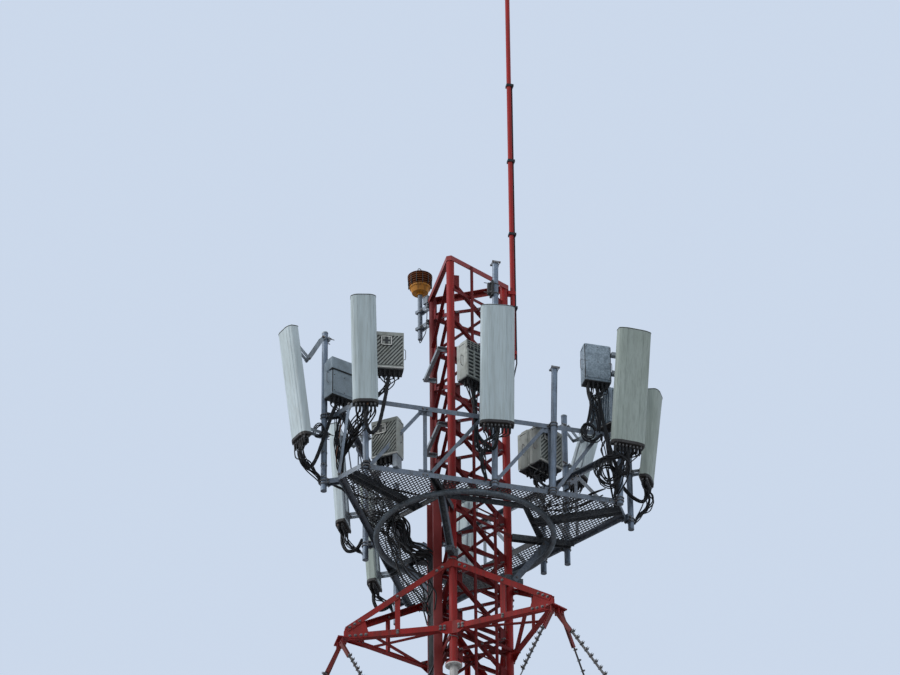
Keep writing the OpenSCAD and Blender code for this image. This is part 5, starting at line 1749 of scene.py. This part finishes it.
def tightest_bend(path: Sequence[Vector]) -> float:
    """Radius of a polyline's tightest bend, over every second point.

    Args:
        path: Points of the line.

    Returns:
        The radius, infinite for a straight line.
    """
    tightest = math.inf
    for a, b, c in zip(path, path[2:], path[4:]):
        area = (b - a).cross(c - a).length
        if area > 1e-9:
            tightest = min(tightest, (b - a).length * (c - b).length * (c - a).length / (2 * area))
    return tightest


def eased(path: list[Vector], least: float) -> list[Vector]:
    """Path whose sharp bends are rounded until none is tighter than a radius.

    Args:
        path: Points of the cable. Its first two and its last stay.
        least: The radius to keep.

    Returns:
        The eased points.
    """
    for _ in range(80):
        if tightest_bend(path) >= least:
            break
        inner = [(a + 2 * b + c) / 4 for a, b, c in zip(path[1:], path[2:], path[3:])]
        path = [path[0], path[1], *inner, path[-1]]
    return path


@dataclass
class CableRun:
    """Single jumper cables that leave neighbouring ports and hang their own way to one place.

    Each cable drops from its port, strays about the run's waypoints and ends on the object. A waypoint is a side
    of the headframe, the place along it, the distance outside it, the height and the slack there. The first
    cables are objects of their own, the others lie close by them in one mesh.
    """

    name: str
    ports: Sequence[Vector]
    via: Sequence[tuple[int, float, float, float, float]]
    cable_d: float
    cords: int = 2
    tightest: float = 3.4

    def build(self, seed: int) -> None:
        """Args:
            seed: Start of the run's chance.
        """
        chance = random.Random(seed)
        rest = Workpiece(self.name + "_more", Finish.JACKET)
        for number, port in enumerate(self.ports):
            knots = [port, port - Vector((0, 0, 0.085 + 0.05 * chance.random()))]
            for *spot, slack in self.via:
                away = Vector([chance.uniform(-1, 1) for _ in range(3)])
                knots.append(on_headframe(*spot) + 1.5 * slack * away)
            path = eased(smooth_path(knots, 7 * (len(knots) - 1)), self.tightest * self.cable_d)
            if number >= self.cords:
                rest.hose(path, self.cable_d * chance.uniform(0.8, 1.0), 6)
                continue
            piece = Workpiece(f"{self.name}_{number + 1}", Finish.JACKET)
            piece.hose(path, self.cable_d, 6)
            piece.make("cable_jacket")
        if rest.faces:
            rest.make("cable_jacket")
        log.info("%s: %d cables", self.name, len(self.ports))


def some_of(spots: Sequence[Vector], count: int) -> list[Vector]:
    """A number of places spread evenly over a list."""
    return [spots[i * len(spots) // count] for i in range(count)]


def antenna_ports(number: int, count: int) -> list[Vector]:
    """Places inside the boots of some of an antenna's ports."""
    antenna, where = PanelAntenna(ANTENNAS[number]), ANTENNAS[number].frame()
    return some_of([where @ Vector((*spot, -BOOT_DEEP)) for spot in antenna.port_spots()], count)


def radio_ports(number: int, count: int) -> list[Vector]:
    """Places inside the boots of some of a radio's ports.

    Args:
        number: Place of the radio in its table.
        count: Number of places.

    Returns:
        The places, spread over the ports.
    """
    unit = RadioUnit(RADIOS[number])
    ports = [at @ Vector((*xy, -BOOT_DEEP)) for at in unit.frames() for xy in unit.port_spots()]
    return some_of(ports, count)


@dataclass
class CableTangles:
    """Cables that lie on the floor, coils tied to pipes, and tails that hang from the floor to the ladder."""

    seed: int = 5
    tails: int = 6
    coil_cable_d: float = 0.016

    def build(self) -> None:
        """Makes the cables as one piece."""
        piece = Workpiece("cables_tied_to_frame", Finish.JACKET, Finish.BROWN_JACKET)
        chance = random.Random(self.seed)
        for number in range(self.tails):
            knots = [on_face(2, -0.2 + 0.08 * number, *spot) for spot in LADDER_TAIL]
            self._strand(piece, chance, knots, 0.06, 0.021)
        for number in range(self.tails):
            knots = [on_headframe(2, 1.5 + 0.015 * number, *spot) for spot in RAIL_TAIL]
            self._strand(piece, chance, knots, 0.03, 0.013, 1 if number == 3 else 0)
        for points in FLOOR_CABLES:
            for _ in range(2):
                knots = [Vector((x, y, RAIL_LOW + 0.015)) for x, y in points]
                self._strand(piece, chance, knots, 0.035, 0.018, flat=True)
        for where, radius, turns in COILS:
            self._coil(piece.held(where), chance, radius, turns)
        piece.make("cable_jacket")

    def _strand(self, piece: Workpiece, chance: random.Random, knots: Sequence[Vector], slack: float,
                cable_d: float, wears: int = 0, flat: bool = False) -> None:
        """Adds one cable through points, loose between its two ends.

        Args:
            piece: Mesh to add to.
            chance: Source of the looseness.
            knots: Points of the cable.
            slack: How far it strays from the points between its ends.
            cable_d: Diameter.
            wears: Number of the finish.
            flat: Whether it keeps the height of its points.
        """
        loose = [knots[0]]
        for knot in knots[1:-1]:
            x, y = chance.uniform(-1, 1), chance.uniform(-1, 1)
            loose.append(knot + slack * Vector((x, y, 0.0 if flat else chance.uniform(-1, 1))))
        piece.hose(smooth_path([*loose, knots[-1]], 6 * (len(knots) - 1)), cable_d, 6, wears)

    def _coil(self, piece: Workpiece, chance: random.Random, radius: float, turns: int) -> None:
        """Adds a tied coil in the local XZ plane.

        Args:
            piece: Mesh to add to, held at the coil's middle.
            chance: Source of the looseness.
            radius: Its radius.
            turns: Number of turns.
        """
        steps = 16 * turns
        path = []
        for i in range(steps + 1):
            a = 2 * math.pi * i / 16
            r = radius * (1 + 0.1 * math.sin(a / turns * 2.3) + chance.uniform(-0.02, 0.02))
            y = 0.05 * (i / steps - 0.5) + chance.uniform(-0.003, 0.003)
            path.append(Vector((r * math.cos(a), y, 1.15 * r * math.sin(a))))
        piece.hose(path, self.coil_cable_d, 6)


LADDER_TAIL = [(0.66, 5.952), (0.68, 5.76), (0.62, 5.58), (0.47, 5.28), (0.27, 5.02), (0.2, 4.8),
               (0.165, 4.62)]
RAIL_TAIL = [(0.012, 6.9), (0.04, 6.7), (0.05, 6.5), (0.05, 6.25), (0.03, 6.08), (0.012, 5.96)]

FLOOR_CABLES = [
    [(1.93, 0.16), (1.76, 0.2), (1.59, 0.28), (1.3, 0.34), (1.05, 0.32), (0.86, 0.22)],
    [(1.86, 0.3), (1.6, 0.42), (1.35, 0.5), (1.1, 0.45), (0.88, 0.36)],
    [(1.5, 0.02), (1.3, 0.2), (1.12, 0.34), (1.0, 0.6), (0.92, 0.86)],
    [(-1.34, -1.07), (-1.2, -0.8), (-0.97, -0.49), (-0.78, -0.42), (-0.56, -0.39), (-0.4, -0.28)],
    [(-1.0, -0.9), (-0.75, -0.7), (-0.56, -0.56), (-0.3, -0.36)],
    [(-1.34, -1.07), (-1.22, -0.82), (-1.14, -0.5), (-1.08, -0.1), (-1.02, 0.3), (-0.96, 0.62)],
    [(-1.05, -0.84), (-1.08, -0.56), (-1.1, -0.28), (-1.08, 0.1), (-1.0, 0.46), (-0.95, 0.8)],
    [(-1.05, -1.05), (-0.9, -0.72), (-0.82, -0.4), (-0.86, -0.12), (-0.9, 0.16)],
    [(-0.62, -0.82), (-0.8, -0.5), (-0.9, -0.2), (-0.92, 0.12), (-0.9, 0.4)],
]
COILS = [
    (side_frame(2) @ moved(1.63, -0.262, 6.66) @ turned(70), 0.075, 3),
    (side_frame(0) @ moved(1.27, -0.05, 6.86), 0.085, 3),
    (side_frame(0) @ moved(1.53, 0.0, 6.26), 0.13, 4),
]


def lay_cables() -> None:
    """Lays the loose cables round the headframe."""
    runs = [
        CableRun("cable_front_left", antenna_ports(0, 14), [
            (0, -1.7, -0.05, 6.49, 0.075), (0, -1.748, -0.29, 6.43, 0.045), (0, -1.78, -0.4, 6.27, 0.02),
            (2, 1.6, -0.02, 6.1, 0.012), (2, 1.6, 0, 5.955, 0.006),
        ], 0.021),
        CableRun("cable_left_front", antenna_ports(6, 10), [
            (2, 1.96, 0.42, 6.17, 0.045), (2, 1.81, 0.36, 6.07, 0.045), (2, 1.56, 0.29, 6.04, 0.03),
            (2, 1.585, 0.255, 5.9, 0.008),
        ], 0.017),
        CableRun("cable_front_middle", antenna_ports(1, 8), [
            (0, -0.1, 0.16, 6.41, 0.06), (0, -0.13, 0.11, 6.23, 0.04), (0, -0.11, 0.06, 6.06, 0.02),
            (0, -0.06, 0.02, 5.955, 0.01),
        ], 0.016),
        CableRun("cable_front_right", antenna_ports(2, 9), [
            (0, 1.67, 0.24, 6.35, 0.09), (0, 1.66, 0.14, 6.18, 0.06), (0, 1.6, 0.03, 5.955, 0.012),
        ], 0.018),
        CableRun("cable_loop_low_right", antenna_ports(2, 8), [
            (0, 1.52, 0.24, 6.42, 0.04), (0, 1.37, 0.18, 6.41, 0.045), (0, 1.29, 0.16, 6.22, 0.05),
            (0, 1.38, 0.16, 6.08, 0.045), (0, 1.52, 0.16, 6.07, 0.04), (0, 1.65, 0.14, 6.23, 0.035),
            (0, 1.66, 0, 6.5, 0.01),
        ], 0.018, cords=3),
        CableRun("cable_back_right", antenna_ports(3, 10), [
            (1, -1.86, 0.24, 6.24, 0.05), (1, -1.8, 0.26, 6.12, 0.04), (1, -1.7, 0.22, 6.01, 0.03),
            (1, -1.66, 0.15, 5.88, 0.008),
        ], 0.017),
        CableRun("cable_of_high_radio", radio_ports(4, 8), [
            (0, 1.39, -0.08, 7.39, 0.045), (0, 1.41, -0.05, 7.19, 0.035), (0, 1.42, -0.01, 6.895, 0.012),
        ], 0.018),
        CableRun("cable_loop_high_right", radio_ports(4, 6), [
            (0, 1.34, -0.06, 7.37, 0.035), (0, 1.34, 0, 7.06, 0.03), (0, 1.21, 0.05, 6.91, 0.025),
            (0, 1.19, 0.06, 6.75, 0.025), (0, 1.28, 0.06, 6.66, 0.025), (0, 1.38, 0.04, 6.73, 0.02),
            (0, 1.45, 0, 6.86, 0.01),
        ], 0.018),
        CableRun("cable_of_beige_radio", radio_ports(0, 9), [
            (0, -1.28, 0.02, 7.2, 0.035), (0, -1.36, 0.02, 7.07, 0.025), (0, -1.44, 0.01, 6.97, 0.02),
            (0, -1.5, 0, 6.905, 0.01),
        ], 0.015),
        CableRun("cable_of_left_radio", radio_ports(5, 6), [
            (2, 1.56, 0.02, 6.88, 0.04), (2, 1.54, 0.06, 6.6, 0.04), (2, 1.53, 0.03, 6.3, 0.03),
            (2, 1.5, 0, 5.955, 0.01),
        ], 0.016),
        CableRun("cable_of_middle_radio", radio_ports(2, 9), [
            (0, -0.16, -0.1, 7.12, 0.045), (0, -0.16, -0.04, 6.79, 0.04), (0, -0.21, 0.02, 6.48, 0.035),
            (0, -0.16, 0.03, 6.25, 0.04), (0, -0.09, 0.03, 6.42, 0.03), (0, 0.05, 0, 6.4, 0.01),
        ], 0.017),
        CableRun("cable_of_double_radio", radio_ports(3, 8), [
            (0, 0.61, -0.16, 6.22, 0.05), (0, 0.67, -0.08, 6.04, 0.03), (0, 0.8, -0.02, 5.958, 0.01),
        ], 0.016),
        CableRun("cable_of_low_radio", radio_ports(1, 7), [
            (0, -1.25, -0.08, 6.04, 0.03), (0, -1.35, -0.04, 5.97, 0.015), (0, -1.3, -0.03, 5.962, 0.006),
        ], 0.015),
        CableRun("cable_of_right_radio", radio_ports(6, 6), [
            (1, -1.42, -0.1, 7.03, 0.05), (1, -1.43, -0.03, 6.82, 0.04), (1, -1.5, 0, 5.955, 0.01),
        ], 0.016, cords=1),
        CableRun("cable_left_middle", antenna_ports(7, 8), [
            (2, 0.07, 0.36, 5.98, 0.03), (2, -0.02, 0.28, 5.9, 0.03), (2, -0.08, 0.19, 5.89, 0.02),
            (2, 0, 0.15, 5.8, 0.008),
        ], 0.016),
        CableRun("cable_left_back", antenna_ports(8, 8), [
            (2, -1.47, 0.36, 6.02, 0.03), (2, -1.58, 0.27, 5.98, 0.03), (2, -1.58, 0.19, 5.97, 0.02),
            (2, -1.5, 0.15, 5.72, 0.008),
        ], 0.016, cords=1),
        CableRun("cable_back_middle", antenna_ports(4, 5), [
            (1, -0.56, 0.08, 6.6, 0.05), (1, -0.58, 0.06, 6.2, 0.04), (1, -0.57, 0, 5.955, 0.01),
        ], 0.016, cords=1),
    ]
    for number, run in enumerate(runs):
        run.build(seed=11 + number)


@dataclass
class CableLadder:
    """Cable ladder up to the floor, and the two bracket frames that wait for it above."""

    half: float = 0.17
    back: float = 0.062
    depth: float = 0.11
    low: float = 0.12
    high: float = 6.35
    rung_gap: float = 0.275
    tie_gap: float = 1.1
    frame_z: tuple[float, ...] = (8.33, 7.2)

    def build(self) -> None:
        """Makes the ladder in place of its node."""
        # The ladder's rails, rungs and ties wear red paint darkened as painted shade.
        piece = Workpiece("cable_ladder_and_brackets", Finish.RED_DARK, Finish.ZINC_PALE, Finish.BOLT)
        piece = piece.held(face_frame(2))
        for side in (-1, 1):
            x = side * self.half
            piece.block((x - 0.003, -self.back - self.depth, self.low), (x + 0.003, -self.back, self.high))
            for y in (-self.back - 0.005, -self.back - self.depth):
                inner = x - side * 0.025
                piece.block((min(x, inner), y, self.low), (max(x, inner), y + 0.005, self.high))
        for i in range(22):
            z = 0.26 + self.rung_gap * i
            piece.block((-self.half, -self.back - 0.024, z), (self.half, -self.back - 0.006, z + 0.03))
        for i in range(6):
            z = 0.75 + self.tie_gap * i
            piece.block((-0.51, -self.back, z), (0.51, -LEG_R, z + 0.06))
            for x in (-0.48, 0.48):
                piece.at(x, 0, z + 0.03, turned(180)).u_bolt(0.102, 0.012, 0.075, 2)
        for z in self.frame_z:
            self._bracket(piece.at(0, 0, z))
        piece.make("dark_red_paint", bevel=0.001, replaces=["cable_ladder"])

    def _bracket(self, piece: Workpiece) -> None:
        """Adds one frame: an arm at leg A, a bar beside the face and an arm back to the bracing.

        Args:
            piece: Mesh to add to, held at the face's middle and the frame's height.
        """
        for x, near in ((0.445, 0.03), (-0.3, 0.0)):
            piece.block((x - 0.022, -0.165, -0.003), (x + 0.022, -near, 0.003), 1)
            piece.block((x - 0.022, -0.165, -0.045), (x - 0.016, -near, -0.003), 1)
        piece.block((-0.322, -0.171, -0.048), (0.467, -0.165, 0.003), 1)
        piece.block((-0.322, -0.165, -0.048), (0.467, -0.125, -0.042), 1)
        for x in (0.445, -0.3, 0.1):
            piece.at(x, -0.171, -0.022, OUTWARDS).bolt(0.02, 0.012, 2)


@dataclass
class Feeders:
    """Two rows of feeders in blocks up the ladder, and their thinner tails up over the floor's edge."""

    gap: float = 0.046
    feeder_d: float = 0.042
    tail_d: float = 0.024
    near: float = 0.107
    row_length: int = 6
    joint_z: float = 5.3
    bend_z: float = 5.36
    block_near: float = 0.086
    seed: int = 8

    def build(self) -> None:
        """Makes feeders, joints, tails and blocks in place of the node."""
        piece = Workpiece("feeders_and_tails", Finish.JACKET, Finish.BOOT, Finish.CAP).held(face_frame(2))
        chance = random.Random(self.seed)
        for row in (0, 1):
            for i in range(self.row_length):
                x, out = (i - (self.row_length - 1) / 2) * self.gap, self.near + row * self.gap
                joint = self.joint_z - 0.24 * ((i + row) % 2)
                piece.at(x, -out, 0).lathe([(self.feeder_d / 2, 0.06), (self.feeder_d / 2, joint)], 16)
                sleeve = [(0.0228, 0), (0.0228, 0.03), (0.019, 0.04), (0.019, 0.1), (0.013, 0.12)]
                piece.at(x, -out, joint - 0.002).lathe(sleeve, 12, 1)
                self._tail(piece, chance, x, row, joint + 0.1)
        half, depth = 0.144, self.gap + self.feeder_d + 0.01
        for i in range(5):
            z = 0.535 + 1.1 * i
            piece.block((-half, -self.block_near - depth, z), (half, -self.block_near, z + 0.03), 2)
        piece.make("cable_jacket", replaces=["feeder_cables"])

    def _tail(self, piece: Workpiece, chance: random.Random, x: float, row: int, low: float) -> None:
        """Adds one tail from its joint to its end on the floor.

        Args:
            piece: Mesh to add to, held at the ladder's face.
            chance: Source of the looseness.
            x: Place of the feeder across the ladder.
            row: Row of the feeder.
            low: Height where the tail starts.
        """
        out, bend, rise = self.near + row * self.gap, 0.2 - row * self.gap, 0.477 + row * self.gap
        level_z, top = self.bend_z + bend, RAIL_LOW + 0.018 + 0.024 * (1 - row)
        route = [(out, low), (out, self.bend_z + 0.02), (out + 0.3 * bend, self.bend_z + 0.72 * bend),
                 (0.317, level_z), (rise - 0.044, level_z + 0.06), (rise, 5.73), (rise, 5.85),
                 (rise + 0.06, 5.85 + 0.7 * (top - 5.85)), (0.66, top), (0.76, top), (0.9, top)]
        knots = []
        for k, (away, z) in enumerate(route):
            aside, loose = 0.04 if k > 1 else 0.0, 0.03 if 1 < k < 6 else 0.0
            knots.append(Vector((x + chance.uniform(-aside, aside), -away + chance.uniform(-loose, loose),
                                 z + chance.uniform(-loose, loose))))
        piece.hose(smooth_path(knots, 44), self.tail_d)
        end, before = piece.where @ knots[-1], piece.where @ knots[-2]
        cap = piece.held()
        cap.where = along(end, end + (end - before))
        cap.lathe([(0.0135, 0), (0.0135, 0.03), (0.01, 0.034)], 10, 1)


@dataclass
class CornerBraces:
    """Flat bars that brace the headframe's open corners, from the high tie's middle down to one side."""

    out: float = 2.018
    half: float = 0.1985
    width: float = 0.05
    thick: float = 0.007

    def build(self) -> None:
        """Makes the three bars with their bolts as one piece."""
        piece = Workpiece("corner_braces", Finish.ZINC_PIPE, Finish.BOLT)
        high, low = (-0.02, 0, RAIL_LOW + RAIL_GAP + 0.005), (0.005 - self.half, 0, RAIL_LOW + 0.02)
        for corner in range(3):
            brace = piece.at(0, LEG_OUT, 0, turned(SIDE_TURN + 60 + 120 * corner)).at(0, -self.out, 0)
            brace.flat_bar(high, low, self.width, self.thick)
            for x, _, z in (high, low):
                brace.at(x, -self.thick / 2, z, OUTWARDS).bolt(0.022, wears=1)
        piece.make("platform_steel")


@dataclass
class KickerStraps:
    """Zinc straps of the three kickers from the floor beams down to the legs' collars."""

    out: float = 1.06
    drop: float = 0.6
    foot: float = LEG_OUT + LEG_R + 0.014
    base_z: float = 5.864

    def build(self) -> None:
        """Makes the straps, which enclose the model's own plates."""
        piece = Workpiece("kicker_straps", Finish.ZINC, Finish.BOLT, Finish.ZINC_DARK)
        out, foot, drop = -self.out, -self.foot, -self.drop
        for leg in range(3):
            kicker = piece.at(0, LEG_OUT, self.base_z, turned(120 * leg))
            for side in (-1, 1):
                x, inner = side * 0.038, side * 0.032
                kicker.flat_bar((x, out, 0.01), (x, foot, drop), 0.072, 0.0092)
                kicker.flat_bar((inner, out + 0.04, -0.02), (inner, foot - 0.02, drop + 0.03), 0.06, 0.004, 2)
                if side > 0:
                    kicker.flat_bar((0, out + 0.04, 0.005), (0, foot - 0.02, drop + 0.055), 0.005, 0.07, 2)
                for y, z in ((out + 0.05, -0.02), (foot - 0.035, drop + 0.045)):
                    kicker.at(side * 0.0427, y, z, turned(90 * side, "Y")).bolt(0.024, wears=1)
        piece.make("platform_steel")


CAD_FINISHES = {
    Finish.WHITE_TUBE: ["base_legs"], Finish.WHITE_ANGLE: ["base_bracing"],
    Finish.RED_TUBE: ["mast_leg_a", "mast_leg_b"],
    # Leg C wears red paint darkened as painted shade.
    Finish.RED_SHADE: ["mast_leg_c"],
    Finish.RED_ANGLE: ["bracing_ab", "bracing_bc", "bracing_ca", "plan_frames", "ladder"],
    Finish.RED_DARK: ["top_frame"],
    Finish.RED_ARM: ["star_gussets", "star_arm_right", "star_arm_back", "star_arm_left"],
    Finish.RED_ROD: ["lightning_rod"], Finish.RED_STRAP: ["guy_plates"],
    Finish.JACKET: ["down_conductor"],
    Finish.ZINC: ["headframe_front", "headframe_back", "headframe_left", "corner_ties", "beacon_bracket"],
    Finish.ZINC_PIPE: ["antenna_pipes"], Finish.ZINC_PALE: ["radio_arms"],
    # The floor beams wear zinc darkened as painted shade.
    Finish.ZINC_DARK: ["platform_beams"], Finish.ZINC_RING: ["ring_pipe"],
    Finish.ZINC_GRATE: ["rest_platform"],
    Finish.ZINC_FOOT: ["guy_anchors"],
}


def dress_nodes() -> None:
    """Gives every node that stays in sight its finish."""
    for finish, names in CAD_FINISHES.items():
        for name in names:
            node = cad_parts[name]
            node.data.materials.clear()
            node.data.materials.append(finish.material())
            log.info("%s wears %s", name, finish.value.name)


def main() -> None:
    """Builds the tower's pieces in order."""
    logging.basicConfig(level=logging.INFO, format="%(name)s %(message)s")
    Viewpoint().place()
    for bundle in JUMPERS:
        bundle.build()
    lay_cables()
    dress_nodes()
    for spot in ANTENNAS:
        PanelAntenna(spot, finish=SHELLS.get(spot.node, Finish.RADOME)).build()
    TiltBrackets().build()
    PipeFixings().build()
    for spot in RADIOS:
        unit = RadioUnit(spot, CASES.get(spot.node, Case.RIBBED))
        if spot.node == "radio_front_pair":
            unit.width, unit.depth = 0.4, 0.185
        unit.build()
    MeshFloor().build()
    BoltSets().build()
    ObstructionLight().build()
    BeaconFittings().build()
    GuyRopes().build()
    CableLadder().build()
    Feeders().build()
    KickerStraps().build()
    CornerBraces().build()
    CableTangles().build()
    Studio().build()


if __name__ == "__main__":
    main()
